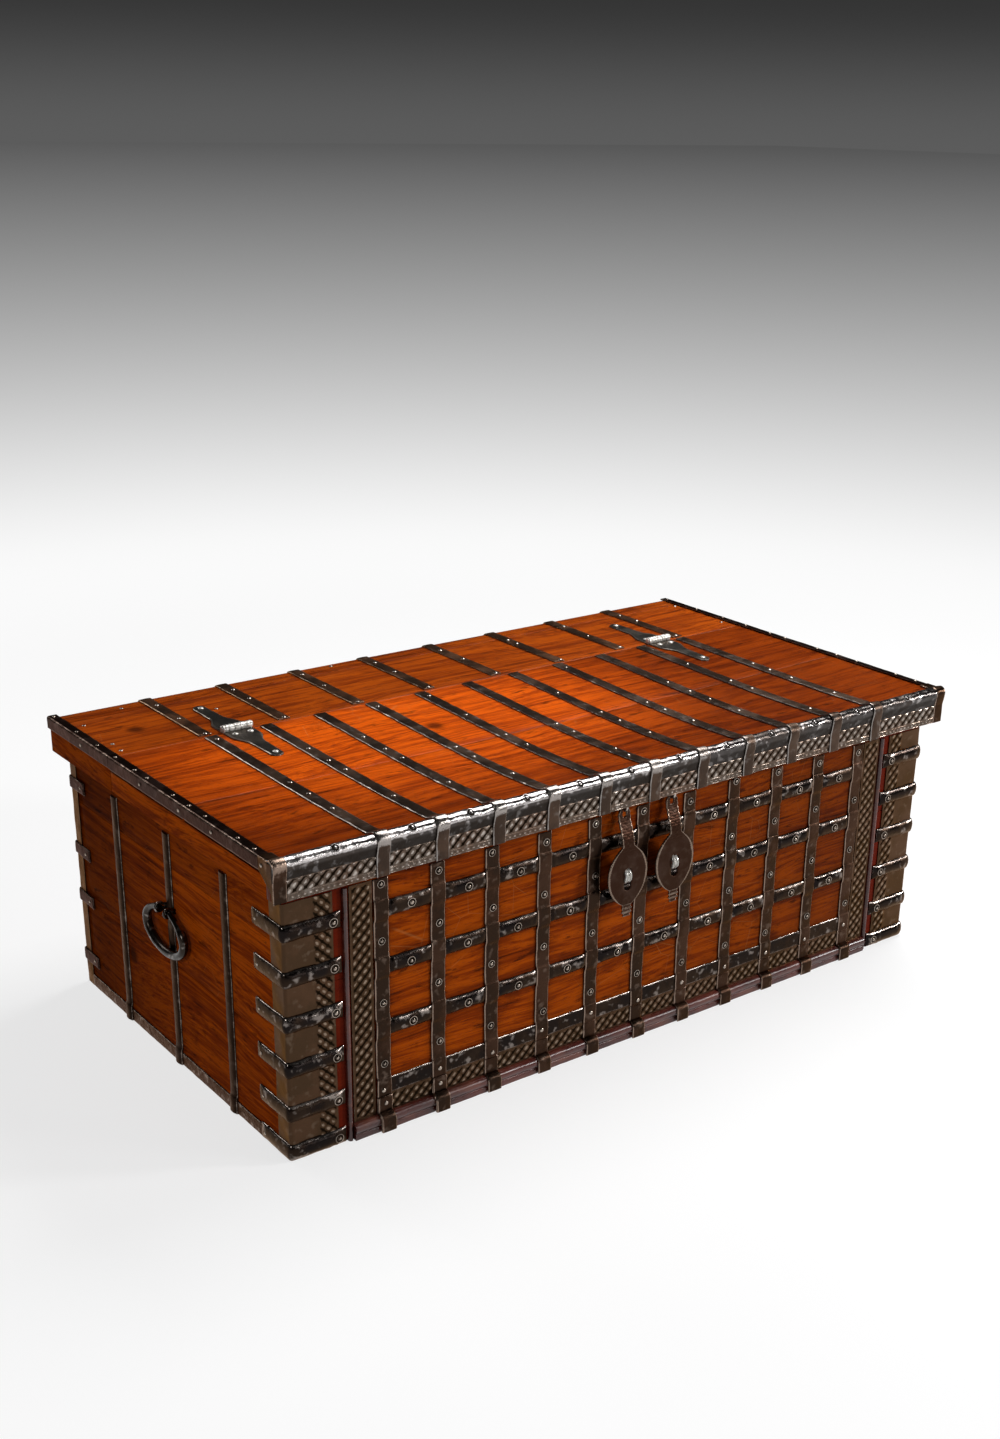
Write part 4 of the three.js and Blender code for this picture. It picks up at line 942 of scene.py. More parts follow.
FRONT_PLACES = [share * field_top for share in (0.036, 0.192, 0.367, 0.544, 0.717, 0.891)]
BACK_PLACES = [share * field_top for share in (0.134, 0.408, 0.62, 0.909)]
corner_lift = SEAT + SHEET - WELD
corner_heads, side_nails, side_outs = [], [], []
side_iron = iron_finish("dark_side_iron", (0.013, 0.0085, 0.007, 1), (0.021, 0.012, 0.009, 1),
                        (0.26, 0.2, 0.165, 1), 0.3, 1.2, tint=(0.8, 0.64, 0.6, 1))
for side, name in SIDES:
    low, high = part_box(f"front_{name}_corner")
    reach = (high.x - low.x - STANDS_OUT, high.y - front)
    piece(f"front_{name}_corner_plate", corner_plate(side, -1, FRONT_PLATE, high.z, COLUMN),
          embossed_iron, "embossed_iron", "root", f"front_{name}_corner")
    # The corner straps are round-backed, with that section's painted highlight and painted shade
    piece(f"front_{name}_corner_straps", joined(
        strap(corner_line(side, -1, reach, corner_lift, z), ALONG_Z, CORNER_STRAP, IRON,
              seed=200 + 10 * side + k, section=ROUND_BACK, step=3 * MM, wander=0.5 * MM,
              crown=corner_crown if side < 0 else turned_corner_crown)
        for k, z in enumerate(FRONT_PLACES)), round_iron, "dark_iron", "root")
    low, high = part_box(f"back_{name}_corner")
    piece(f"back_{name}_corner_plate", corner_plate(side, 1, BACK_PLATE, high.z),
          strap_iron, "embossed_iron", "root", f"back_{name}_corner")
    piece(f"back_{name}_corner_straps", joined(
        strap(corner_line(side, 1, (BACK_STRAP_LEG, BACK_STRAP_LEG), corner_lift, z), ALONG_Z,
              BACK_STRAP, BACK_STRAP_IRON, seed=230 + 10 * side + k, step=3 * MM)
        for k, z in enumerate(BACK_PLACES)), side_iron, "dark_iron", "root")
    face_out = corner_lift + IRON
    corner_heads += [(side * (end - RIVET_OFF), front - face_out - 0.8 * CORNER_CROWN, z)
                     for z in FRONT_PLACES]
    side_nails += [(side * (end + face_out + 0.4 * CORNER_CROWN), front + FRONT_NAIL_OFF, z)
                   for z in FRONT_PLACES]
    side_nails += [(side * (end + face_out), back - BACK_NAIL_OFF, z) for z in BACK_PLACES]
    side_outs += [(side, 0, 0)] * (len(FRONT_PLACES) + len(BACK_PLACES))
    side_nails += [(side * (end - BACK_NAIL_OFF), back + face_out, z) for z in BACK_PLACES]
    side_outs += [(0, 1, 0)] * len(BACK_PLACES)
piece("corner_rivets", joined([
    studs(corner_heads, FORWARD, RINGED, RINGED_RIM),
    studs(side_nails, side_outs, NAIL * (0.75, 0.8), NAIL_RIM, 10),
]), head_iron, "dark_iron", "root")


# End bindings: three half-round bars stand on each end, over a flat strip along its foot. They are
# forged bars with a round face, nailed through the end boards.
HALF_ROUND = (np.array([-1, -0.96, -0.8, -0.5, -0.17, 0.17, 0.5, 0.8, 0.96, 1]),
              np.array([0, 0.35, 0.64, 0.88, 0.99, 0.99, 0.88, 0.64, 0.35, 0]),
              np.array([0.2, 0.9, 0.1, 0, 0, 0, 0, 0.1, 0.9, 0.2]))
bail_y = (front + back) / 2
BAR_PITCH = 174 * MM
BAR_WIDTH = 21 * MM
BAR_RISE = 4.5 * MM
STRIP_TOP, STRIP_WIDTH = 22 * MM, 21 * MM
rough_iron = iron_finish("rough_foot_iron", (0.02, 0.011, 0.007, 1), (0.036, 0.015, 0.008, 1),
                         (0.34, 0.28, 0.24, 1), 1.0, 1.2, 1.8 * MM, (0.85, 0.68, 0.6, 1))
end_iron = iron_finish("black_end_iron", (0.010, 0.006, 0.004, 1), (0.016, 0.008, 0.005, 1),
                       (0.26, 0.2, 0.165, 1), 0.2, 1.2, tint=(0.95, 0.76, 0.66, 1))
for side, name in SIDES:
    low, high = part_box(f"{name}_end_binding")
    wall = side * (end + SEAT)
    over = side * (IRON - WELD)
    bars = []
    for k in (-1, 0, 1):
        y = bail_y + k * BAR_PITCH
        line = [(wall, y, high.z), (wall, y, STRIP_TOP + IRON + JOGGLE),
                (wall + over, y, STRIP_TOP + IRON), (wall + over, y, STRAP_FOOT)]
        bars.append(strap(rounded(line, BEND), (0, side, 0), BAR_WIDTH, BAR_RISE,
                          seed=260 + 5 * side + k, section=HALF_ROUND))
    piece(f"{name}_end_bars", joined(bars), end_iron, "dark_iron", "root",
          f"{name}_end_binding")
    middle = STRIP_TOP - STRIP_WIDTH / 2
    foot = [(wall, low.y, middle), (wall, high.y, middle)]
    piece(f"{name}_end_foot_strip",
          strap(foot[::side], ALONG_Z, STRIP_WIDTH, IRON, seed=280 + side, step=8 * MM),
          rough_iron, "dark_iron", "root")


# Rear straps: eight flat bars over the rear boards, bent down over the back edge, with three nails
# in each. They are browner than the lid's, which hands have kept clean.
brown_iron = iron_finish("brown_strap_iron", (0.06, 0.032, 0.019, 1), (0.09, 0.036, 0.015, 1),
                         (0.24, 0.17, 0.12, 1), 0.3, 0.85)
wood_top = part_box("rear_top_board")[1].z
wood_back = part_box("rear_slip_board")[1].y
EDGE_ROUND = 5 * MM
TOP_STRAP = 21 * MM
REAR_STRAPS = 8
REAR_NAILS = (48 * MM, 105 * MM, 212 * MM)
rear_nails = []
scatter = np.random.default_rng(23)
rear_edge = arc(wood_back - EDGE_ROUND, wood_top - EDGE_ROUND, EDGE_ROUND + SEAT, 90, 0, 5)
for k in range(REAR_STRAPS):
    low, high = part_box(f"rear_strap_{k + 1}")
    x = (low.x + high.x) / 2
    line = np.concatenate([[(low.y, wood_top + SEAT)], rear_edge,
                           [(wood_back + SEAT, rail_bottom)]])
    piece(f"rear_binding_strap_{k + 1}",
          strap(at_x(x, line), -ALONG_X, TOP_STRAP, IRON, seed=300 + k), brown_iron,
          "dark_iron", "root", f"rear_strap_{k + 1}")
    for off in REAR_NAILS:
        rear_nails.append((x + scatter.normal(0, 1.5 * MM),
                           wood_back - off + scatter.normal(0, 9 * MM) * (off < REAR_NAILS[-1]),
                           wood_top + SEAT + IRON))


# Edge irons: an angle of iron along each end of the top, in two lengths that part at the break,
# nailed down every hand's breadth.
lid_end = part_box("lid_binding")[1].x
lid_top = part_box("lid_left_edge_iron")[1].z
wood_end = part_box("lid_front_board")[1].x
EDGE_FLANGE, EDGE_LEG, EDGE_BEND = 16 * MM, 19 * MM, 1.2 * MM
FLANGE_NAIL, LEG_NAIL, LEG_NAIL_SHIFT = 7.5 * MM, 11 * MM, 30 * MM


def edge_line(side):
    """The underside of an edge iron, from its inner edge outwards and down."""
    inner = wood_end + SEAT
    line = [(side * (lid_end - EDGE_FLANGE), 0, lid_top - IRON),
            (side * inner, 0, lid_top - IRON), (side * inner, 0, lid_top - EDGE_LEG)]
    return rounded(line, EDGE_BEND)


def worn_edge(seed):
    """Height and shine of an angle iron: a face that waves a little, bright along its rims."""
    def height(gone, s, at):
        far = gone.max() - gone
        from_bend = (np.abs(at[..., 2] - (lid_top - IRON))
                     + np.abs(np.abs(at[..., 0]) - wood_end - SEAT))
        bend = np.exp(-(from_bend / (1.5 * MM)) ** 2)
        rim = np.maximum(np.clip(1 - np.minimum(gone, far) / (1.3 * MM), 0, 1), 0.9 * bend)
        return 0.2 * MM * wavy(s + gone, seed, 0.05), rim
    return height


REAR_EDGE_NAILS = (0.010, 0.097, 0.172)
LID_EDGE_NAILS = (0.235, 0.300, 0.340, 0.422, 0.470, 0.518, 0.610, 0.655)
top_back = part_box("rear_left_edge_iron")[1].y
for side, name in SIDES:
    for part, body, places in (("rear", "root", REAR_EDGE_NAILS), ("lid", "lid", LID_EDGE_NAILS)):
        low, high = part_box(f"{part}_{name}_edge_iron")
        span = sorted((side * low.y, side * high.y))
        piece(f"{part}_{name}_edge_angle",
              sheet_iron(edge_line(side), (0, side, 0), *span, worn_edge(40 + side), 4 * MM, IRON),
              side_iron, "dark_iron", body, f"{part}_{name}_edge_iron")
        heads = [(side * (lid_end - FLANGE_NAIL), top_back - off, lid_top) for off in places]
        heads += [(side * lid_end, top_back - off - LEG_NAIL_SHIFT, lid_top - LEG_NAIL)
                  for off in places[1::2]]
        outs = [UPWARD] * len(places) + [(side, 0, 0)] * len(places[1::2])
        piece(f"{part}_{name}_edge_nails", studs(heads, outs, NAIL * (0.85, 0.9), NAIL_RIM, 10),
              head_iron, "dark_iron", body)


# Lid binding: a rounded nosing of sheet iron along the front edge, worn bright and with a
# painted highlight on its crest, a cap on each corner, and eleven straps from the break over
# the nosing and down the front.
nosing_iron = iron_finish("bright_worn_nosing", (0.06, 0.053, 0.05, 1), (0.05, 0.039, 0.033, 1),
                          (0.6, 0.56, 0.55, 1), 0.9, 1.2, 1.1 * MM, (1, 1, 1, 1))
edge_y = lid_front + EDGE_ROUND
edge_z = wood_top - EDGE_ROUND
NOSING_DROP = 27 * MM
nosing_bottom = lid_top - NOSING_DROP
NOSING_IRON = 2 * MM
NOSING_BACK = 14 * MM
NOSING_BULGE = 3.4 * MM


def bulged(share):
    """The nosing's round back: the sine of half a turn over its length, with its crest moved
    towards the top edge by a power of the share."""
    return NOSING_BULGE * np.sin(math.pi * np.clip(share, 0, 1) ** 0.7)


def over_edge(lift, bottom, back_off=NOSING_BACK, over_nosing=False):
    """A line over the lid's front edge in (y, z), from the top down: flat, round the edge and
    down the front, moved off the wood square to itself by a lift, and by the nosing's bulge."""
    line = np.concatenate([[(lid_front + back_off, wood_top), (lid_front + NOSING_BACK, wood_top)],
                           arc(edge_y, edge_z, EDGE_ROUND, 90, 180, 8),
                           [(lid_front, z) for z in np.linspace(edge_z, bottom, 9)[1:]]])
    line = line[1 if back_off == NOSING_BACK else 0:]
    run = np.gradient(line, axis=0)
    out = np.stack([run[:, 1], -run[:, 0]], -1) / np.linalg.norm(run, axis=1)[:, None]
    gone = np.cumsum(np.append(0, np.linalg.norm(np.diff(line, axis=0), axis=1)))
    share = (gone - (back_off - NOSING_BACK)) / nosing_length
    return line + (lift + over_nosing * bulged(share))[:, None] * out


nosing_length = (NOSING_BACK - EDGE_ROUND) + QUARTER * EDGE_ROUND + edge_z - nosing_bottom


def polish_and_highlight(x):
    """How much hands have polished the lid's front edge, and how bright its painted highlight
    is: wholly in its left half, and less and less towards its right end."""
    return 1 - 0.62 * smooth(x, -0.2, 0.42)


def nosing_height(gone, x, at):
    """The nosing's round back and its dents, and its rim: a crest rubbed bright, as wear and a
    painted highlight, over a foot darkened by painted shade.
    """
    share = gone / gone.max()
    dents = 0.35 * MM * wavy(x + 2 * gone, 51, 0.045) + 0.2 * MM * wavy(x - gone, 52, 0.02)
    crest = smooth(share, 0.02, 0.16) * (1 - smooth(share, 0.42, 0.6))
    return bulged(share) + dents, 1.05 * crest * polish_and_highlight(x) - 0.3 * smooth(share, 0.5, 0.7)


def lid_strap_line(x):
    """The line of a lid strap: flat on the sunken boards, up over the nosing and down."""
    foot = lid_front + NOSING_BACK + IRON + JOGGLE
    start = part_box("lid_rear_board")[1].y - 5 * MM
    flat = np.stack(np.broadcast_arrays(np.linspace(start, foot, 40), wood_top + SEAT), -1)
    line = np.concatenate([flat, over_edge(NOSING_IRON + 2 * SEAT, rail_bottom - SEAT,
                                           over_nosing=True)])
    line = at_x(x, line)
    line[:, 2] -= dish_at(line[:, 0], line[:, 1]) * (line[:, 2] > edge_z)
    return line


def strap_rub_and_highlight(at):
    """A lid strap is rubbed as bright as the nosing where it bends over it, as wear and a painted
    highlight, and half as much down the front."""
    turned = smooth(lid_front + NOSING_BACK + 2 * MM - at[:, 1], 0, 6 * MM)
    low = 1 - smooth(at[:, 2], wood_top - 14 * MM, wood_top - 6 * MM)
    return 1.1 * turned * (1 - 0.72 * low) * polish_and_highlight(at[:, 0])


nosing = sheet_iron(at_x(0, over_edge(SEAT, nosing_bottom)), ALONG_X, -lid_end, lid_end,
                    nosing_height, 2.5 * MM, NOSING_IRON)
piece("lid_nosing", sunk(nosing, edge_z), nosing_iron, "dark_iron", "lid", "lid_binding")
LID_STRAPS = 11
END_BAY, END_RIVET = 168 * MM, 95 * MM
lid_reach = lid_end - END_BAY
lid_strap_places = np.linspace(-lid_reach, lid_reach, LID_STRAPS)
lid_iron = iron_finish("dark_lid_strap_iron", (0.034, 0.021, 0.015, 1), (0.05, 0.026, 0.015, 1),
                       (0.34, 0.31, 0.29, 1), 0.35, 0.8, 0.7 * MM)
piece("lid_straps", joined(
    strap(lid_strap_line(x), ALONG_X, TOP_STRAP, IRON, seed=340 + k, shine=strap_rub_and_highlight)
    for k, x in enumerate(lid_strap_places)), lid_iron, "dark_iron", "lid")


CAP_WIDTH, CAP_LENGTH = 21 * MM, 34 * MM
CHEEK_DROP, CHEEK_RISE = 46 * MM, 27 * MM


def corner_cap(side):
    """A cap over one front corner: a leg bent over the nosing and down the front, and a cheek on
    the side whose lower edge slopes up towards the back."""
    line = over_edge(SEAT + 0.4 * MM, rail_bottom - SEAT, CAP_LENGTH, over_nosing=True)
    leg = strap(at_x(side * (lid_end - CAP_WIDTH / 2), line), ALONG_X, CAP_WIDTH, IRON,
                seed=370 + side, step=4 * MM, wander=0.2 * MM, shine=strap_rub_and_highlight)
    y = np.linspace(lid_front - SEAT - 2.2 * MM, lid_front + CAP_LENGTH, 16)
    from_edge = np.clip(edge_y - y, 0, None)
    radius = EDGE_ROUND + SEAT + IRON
    top = edge_z + np.sqrt(np.clip(radius ** 2 - from_edge ** 2, 0, None))
    slope = np.clip((y - lid_front) / CAP_LENGTH, 0, 1)
    below = np.where(y < lid_front, rail_bottom, lid_top - CHEEK_DROP + slope * CHEEK_RISE)
    upper, lower = np.stack([y, top], -1), np.stack([y, below], -1)[::-1]
    section = np.concatenate([upper, lower])
    middle = section.mean(0)
    faces = [(wood_end + SEAT, 1.0), (lid_end - 0.5 * MM, 1.0), (lid_end, 0.975)]
    rings = np.array([at_x(side * x, middle + (section - middle) * share) for x, share in faces])
    return joined([leg, loft(rings, np.array([[0.2], [0.9], [0.5]]))])


piece("lid_corner_caps", joined(corner_cap(side) for side, _ in SIDES), strap_iron, "dark_iron",
      "lid")
# The nail that every lid strap has, and those of which it has three, from the top's back edge
SHARED_NAIL = 0.468
LID_NAILS = (0.253, 0.355, 0.417, 0.517, 0.587, 0.617, 0.654)
scatter = np.random.default_rng(5)
lid_nails = []
for x in lid_strap_places:
    chosen = scatter.choice(LID_NAILS, 3, replace=False)
    for off in (SHARED_NAIL, *chosen):
        y = top_back - off + scatter.normal(0, 3 * MM)
        lid_nails.append((x + scatter.normal(0, 1.5 * MM), y,
                          wood_top + SEAT + IRON - dish_at(x, y)))
bays = np.concatenate([[-lid_end + END_RIVET],
                       (lid_strap_places[1:] + lid_strap_places[:-1]) / 2, [lid_end - END_RIVET]])
RIVET_TILT = math.radians(50)
tilt = np.array((0, -math.cos(RIVET_TILT), math.sin(RIVET_TILT)))
nosing_places = np.array([(x, edge_y, edge_z - dish_at(x, edge_y)) for x in bays])
nosing_places += (EDGE_ROUND + SEAT + NOSING_IRON + 0.95 * NOSING_BULGE) * tilt
nail_iron = iron_finish("polished_nail_iron", (0.14, 0.12, 0.105, 1), (0.09, 0.068, 0.052, 1),
                        (0.55, 0.5, 0.46, 1), 0.5, 1.0, 0.3 * MM)
piece("lid_nails", studs(lid_nails, UPWARD, NAIL, NAIL_RIM, 10), nail_iron, "dark_iron", "lid")
piece("nosing_rivets", studs(nosing_places, tilt, RINGED * (0.9, 0.7), RINGED_RIM), nosing_iron,
      "dark_iron", "lid")
# Nails outside the straps, in millimetres from the top's left end and from its back edge
LOOSE_NAILS = ((32, 68), (32, 172), (30, 205), (116, 23), (240, 110), (511, 15), (1278, 50),
               (1275, 187))
TOP_HALF = 650
loose_places = [((x - TOP_HALF) * MM, top_back - off * MM, wood_top) for x, off in LOOSE_NAILS]
piece("rear_nails", joined([
    studs(rear_nails, UPWARD, NAIL, NAIL_RIM, 10),
    studs(loose_places, UPWARD, NAIL * (0.9, 0.7), NAIL_RIM, 10),
]), nail_iron, "dark_iron", "root")


# Lattice strip of the lid: punched sheet iron on the front rail, below the nosing, with rows of
# diamonds over a border of long beads between two ridges.
NET_DROP, BEAD_DROP, BEAD_PITCH = 20.5 * MM, 26 * MM, 9 * MM
RIDGE_DROPS = (22 * MM, 29.6 * MM)


def lid_lattice(down, x, at):
    """Diamonds down to the border, then a row of beads between two thin ridges. A bead is a
    cosine hump along its pitch times a bell across the row; a ridge is a bell in the depth.
    The diamonds carry the lattice's painted highlight and shade."""
    inside = np.clip(down / (2 * MM), 0, 1) * np.clip((NET_DROP - down) / (1.5 * MM), 0, 1)
    net = diamonds(x, down, DIAMOND) * inside
    hump = np.clip(np.cos(2 * math.pi * x / BEAD_PITCH) + 0.45, 0, 1)
    beads = hump * np.exp(-((down - BEAD_DROP) / (1.5 * MM)) ** 2)
    broken = np.clip(0.75 + 0.6 * wavy(x, 61, 0.03), 0.2, 1)
    ridges = broken * sum(np.exp(-((down - drop) / (0.9 * MM)) ** 2) for drop in RIDGE_DROPS)
    raised = np.maximum(net, np.maximum(0.85 * beads, 0.7 * ridges))
    lumps = 0.2 * MM * wavy(x + down, 62, 0.06)
    border = np.clip(1.6 * raised - 0.3, -0.15, 1) * (1 - inside)
    return 1.3 * MM * raised + lumps, rubbed(x, down, DIAMOND, inside) + border


bright_embossed = iron_finish("polished_embossed_iron", (0.1, 0.076, 0.06, 1),
                              (0.09, 0.055, 0.038, 1), (0.45, 0.4, 0.36, 1), 0.5, 0.85, 0.3 * MM)
piece("lid_punched_strip", punched_sheet("lid_lattice_strip", lid_lattice), bright_embossed,
      "embossed_iron", "lid", "lid_lattice_strip")


# Strap hinges: two long leaves lie on the boards, their knuckles mesh on a headed pin over the
# break. The leaves are black, the barrels filed bright.
black_iron = iron_finish("black_hinge_iron", (0.014, 0.015, 0.014, 1), (0.02, 0.017, 0.013, 1),
                         (0.3, 0.27, 0.24, 1), 0.1, 0.5, 0.4 * MM)


def steel(tree):
    """Filed steel: fine hatching across it, and dirt in patches, less of it along the rims."""
    place = object_place(tree)
    hatch = noise(place, 330.0, 2.0, 0.6, (1, 0.12, 0.4))
    dirt = between(noise(place, 160.0, 4.0, 0.65), 0.5, 0.68)
    dirt = dirt * (-0.7 * attribute(tree, "rim") + 0.9)
    colour = mixed(between(hatch, 0.35, 0.65), (0.36, 0.34, 0.3, 1), (0.78, 0.76, 0.72, 1))
    colour = mixed(0.8 * dirt, colour, (0.09, 0.07, 0.055, 1))
    return {"Base Color": colour, "Roughness": 0.3 * dirt + 0.26, "Height": hatch}


bright_steel = principled("filed_bright_steel", steel, Metallic=0.4)
LEAF_LENGTH = 134 * MM
LEAF_ROOT = 25 * MM
KNUCKLES, KNUCKLE_GAP = 5, 0.4 * MM


def leaf_width(share):
    """A leaf's half width as a share of its root's: broad, drawn in by an eased step to a neck,
    and round at the tip by the height of a circle."""
    width = 1 - 0.52 * smooth(share, 0.2, 0.5) - 0.06 * np.clip((share - 0.5) / 0.5, 0, 1)
    tip = np.clip((share - 0.921) / 0.079, 0, 1)
    return width * np.sqrt(np.clip(1 - tip ** 2, 0.012, 1))


def knuckle(x0, x1, y, z, radius):
    """A rolled knuckle: a circle carried along X, with its radius eased at both ends."""
    share, swell, rim = np.array([(0, 0.9, 1), (0.04, 1, 0.7), (0.5, 1.01, 0.2), (0.96, 1, 0.7),
                                  (1, 0.9, 1)]).T[..., None]
    angle = np.linspace(0, 2 * math.pi, 24, endpoint=False)
    rings = np.broadcast_arrays(x0 + (x1 - x0) * share, y + radius * swell * np.cos(angle),
                                z + radius * swell * np.sin(angle))
    return loft(np.stack(rings, -1), rim)


SCREW = np.array([(4.8, -0.3), (4.8, 0.6), (4.2, 1.3), (2.8, 1.9), (0.5, 2.1)]) * MM
SCREW_OFFS = ((0, 0.9 * LEAF_LENGTH), (-13 * MM, 20 * MM), (13 * MM, 20 * MM))
PIN_PROFILE = np.array([(4.4, -0.5), (4.4, 0.8), (3.6, 1.5), (0.5, 1.6)]) * MM
PIN_HEAD = 1.6 * MM
for side, name in SIDES:
    low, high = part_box(f"{name}_hinge_pin")
    x, barrel_z = (low.x + high.x) / 2, (low.z + high.z) / 2
    radius = barrel_z - wood_top - SEAT
    for part, body, toward, first in (("front", "lid", -1, 1), ("rear", "root", 1, 0)):
        y = break_y + toward * np.linspace(0.5 * radius, LEAF_LENGTH, 60)
        z = wood_top + SEAT - (dish_at(x, y) if toward < 0 else 0)
        line = np.stack(np.broadcast_arrays(x, y, z), -1)
        leaf = strap(line, -toward * ALONG_X, 2 * LEAF_ROOT, IRON, seed=400 + side,
                     step=2.5 * MM, wander=0.3 * MM, taper=leaf_width, bevel=0.5)
        piece(f"{name}_hinge_{part}_strap", leaf, black_iron, "black_iron", body,
              f"{name}_hinge_{part}_leaf")
        cuts = np.linspace(x - LEAF_ROOT, x + LEAF_ROOT, KNUCKLES + 1)
        rolls = [knuckle(cuts[k] + KNUCKLE_GAP / 2, cuts[k + 1] - KNUCKLE_GAP / 2, break_y,
                         barrel_z, radius) for k in range(first, KNUCKLES, 2)]
        piece(f"{name}_hinge_{part}_knuckles", joined(rolls), bright_steel, "bright_steel", body)
        heads = [(x + dx, break_y + toward * dy, wood_top + SEAT + IRON
                  - (dish_at(x, break_y - dy) if toward < 0 else 0)) for dx, dy in SCREW_OFFS]
        piece(f"{name}_hinge_{part}_screws", studs(heads, UPWARD, SCREW, NAIL_RIM, 14),
              bright_steel, "bright_steel", body)
    ends = [(low.x + PIN_HEAD, break_y, barrel_z), (high.x - PIN_HEAD, break_y, barrel_z)]
    piece(f"{name}_hinge_pin_heads",
          studs(ends, [(-1, 0, 0), (1, 0, 0)], PIN_PROFILE, (0.2, 0.7, 1, 1), 16),
          bright_steel, "bright_steel", "root", f"{name}_hinge_pin")


# Hasps and staples: pear-shaped plates on long punched necks, slotted for a staple. Each is forged
# from one piece, its edge notched with a file, and hangs by its eye in a loop driven up into the
# rail. The staples are ridged bars, bent round and driven into the front.
def weld(made, distance):
    """Merges the points of a mesh that lie together, so that its halves are one skin."""
    shell = bmesh.new()
    shell.from_mesh(made.data)
    bmesh.ops.remove_doubles(shell, verts=shell.verts, dist=distance)
    shell.to_mesh(made.data)
    shell.free()


def through(points, steps):
    """A smooth line through points: the cubic between each two has the slope of the chord
    between their neighbours."""
    points = np.asarray(points, float)
    padded = np.concatenate([2 * points[:1] - points[1:2], points, 2 * points[-1:] - points[-2:-1]])
    a, b, c, d = (padded[k:len(padded) - 3 + k, None] for k in range(4))
    t = np.linspace(0, 1, steps, endpoint=False)[None, :, None]
    curve = 0.5 * (2 * b + (c - a) * t + (2 * a - 5 * b + 4 * c - d) * t ** 2
                   + (3 * b - a - 3 * c + d) * t ** 3)
    return np.concatenate([curve.reshape(-1, points.shape[1]), points[-1:]])


def rod(line, plane, radius, rim, sides=12):
    """A round rod along a line that lies in one plane: a circle square to the line at each of
    its points. The radius is one length, or one at each point."""
    line, plane = np.asarray(line, float), np.asarray(plane, float)
    run = np.gradient(line, axis=0)
    across = np.cross(run, plane)
    across /= np.linalg.norm(across, axis=1)[:, None]
    angle = np.linspace(0, 2 * math.pi, sides, endpoint=False)
    radius = np.broadcast_to(radius, len(line))[:, None, None]
    rings = line[:, None] + radius * (np.cos(angle)[:, None] * plane
                                      + np.sin(angle)[:, None] * across[:, None])
    return loft(rings, rim)


HASP_LENGTH = 175 * MM
HASP_NECK = 11 * MM
HASP_IRON = 3 * MM
HANG_DROP = 3 * MM
hang_z = rail_bottom - HANG_DROP
hang_y = (lid_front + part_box("lid_front_rail")[1].y) / 2
top_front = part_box("lid_binding")[0].y
plate_reach = hang_y - top_front - HASP_IRON / 2
RIB_PITCH, NOTCH_PITCH = 6.5 * MM, 3.2 * MM
LOOP_BEND, LOOP_WIRE = 6.6 * MM, 1.9 * MM
SLOT_HALF, SLOT_TALL = 7 * MM, 37 * MM
EYE_HALF, EYE_TALL = 4.5 * MM, 13 * MM
EYE_TOP, EYE_RIM = 4.4 * MM, 3 * MM
slot_middle = 0.651 * HASP_LENGTH


def bezier(*points):
    """A cubic curve from the first of four points to the last, drawn towards the two between."""
    p0, p1, p2, p3 = np.array(points, float)
    t = np.linspace(0, 1, 25)[:, None]
    return ((1 - t) ** 3 * p0 + 3 * t * (1 - t) ** 2 * p1 + 3 * t ** 2 * (1 - t) * p2
            + t ** 3 * p3)


HASP_OUTLINE = np.concatenate([
    bezier((11, 60), (21, 68), (38, 80), (38, 106)),
    bezier((38, 106), (38, 130), (24, 148), (8, 156))[1:],
]) * MM


def round_hole(down, top, bottom, half):
    """Half width of a hole with round ends, at a distance down the plate."""
    off = np.maximum(np.maximum(top + half - down, down - (bottom - half)), 0)
    return np.sqrt(np.clip(half ** 2 - off ** 2, 0, None))


def hasp_half_width(down):
    """Outer half width: a round eye, a straight neck, a pear-shaped plate drawn by two curves,
    and a finial of three ribs. A fine sine notches the plate's edge."""
    first = EYE_TOP - EYE_RIM
    from_eye = np.clip(first + HASP_NECK - down, 0, None)
    eye = np.sqrt(np.clip(HASP_NECK ** 2 - from_eye ** 2, 0, None))
    plate = np.interp(down, HASP_OUTLINE[:, 1], HASP_OUTLINE[:, 0])
    width = np.where(down < HASP_OUTLINE[0, 1], eye, plate)
    on_plate = smooth(down, 0.4 * HASP_LENGTH, 0.44 * HASP_LENGTH) * (1 - smooth(
        down, 0.86 * HASP_LENGTH, 0.89 * HASP_LENGTH))
    notch = 0.45 * MM * np.sin(2 * math.pi * down / NOTCH_PITCH) * on_plate
    rib = 1.5 * MM * np.cos(2 * math.pi * (down - HASP_LENGTH) / RIB_PITCH) * smooth(
        down, 0.9 * HASP_LENGTH, 0.92 * HASP_LENGTH)
    taper = 2.5 * MM * smooth(down, 0.95 * HASP_LENGTH, HASP_LENGTH)
    return width + notch + rib - taper


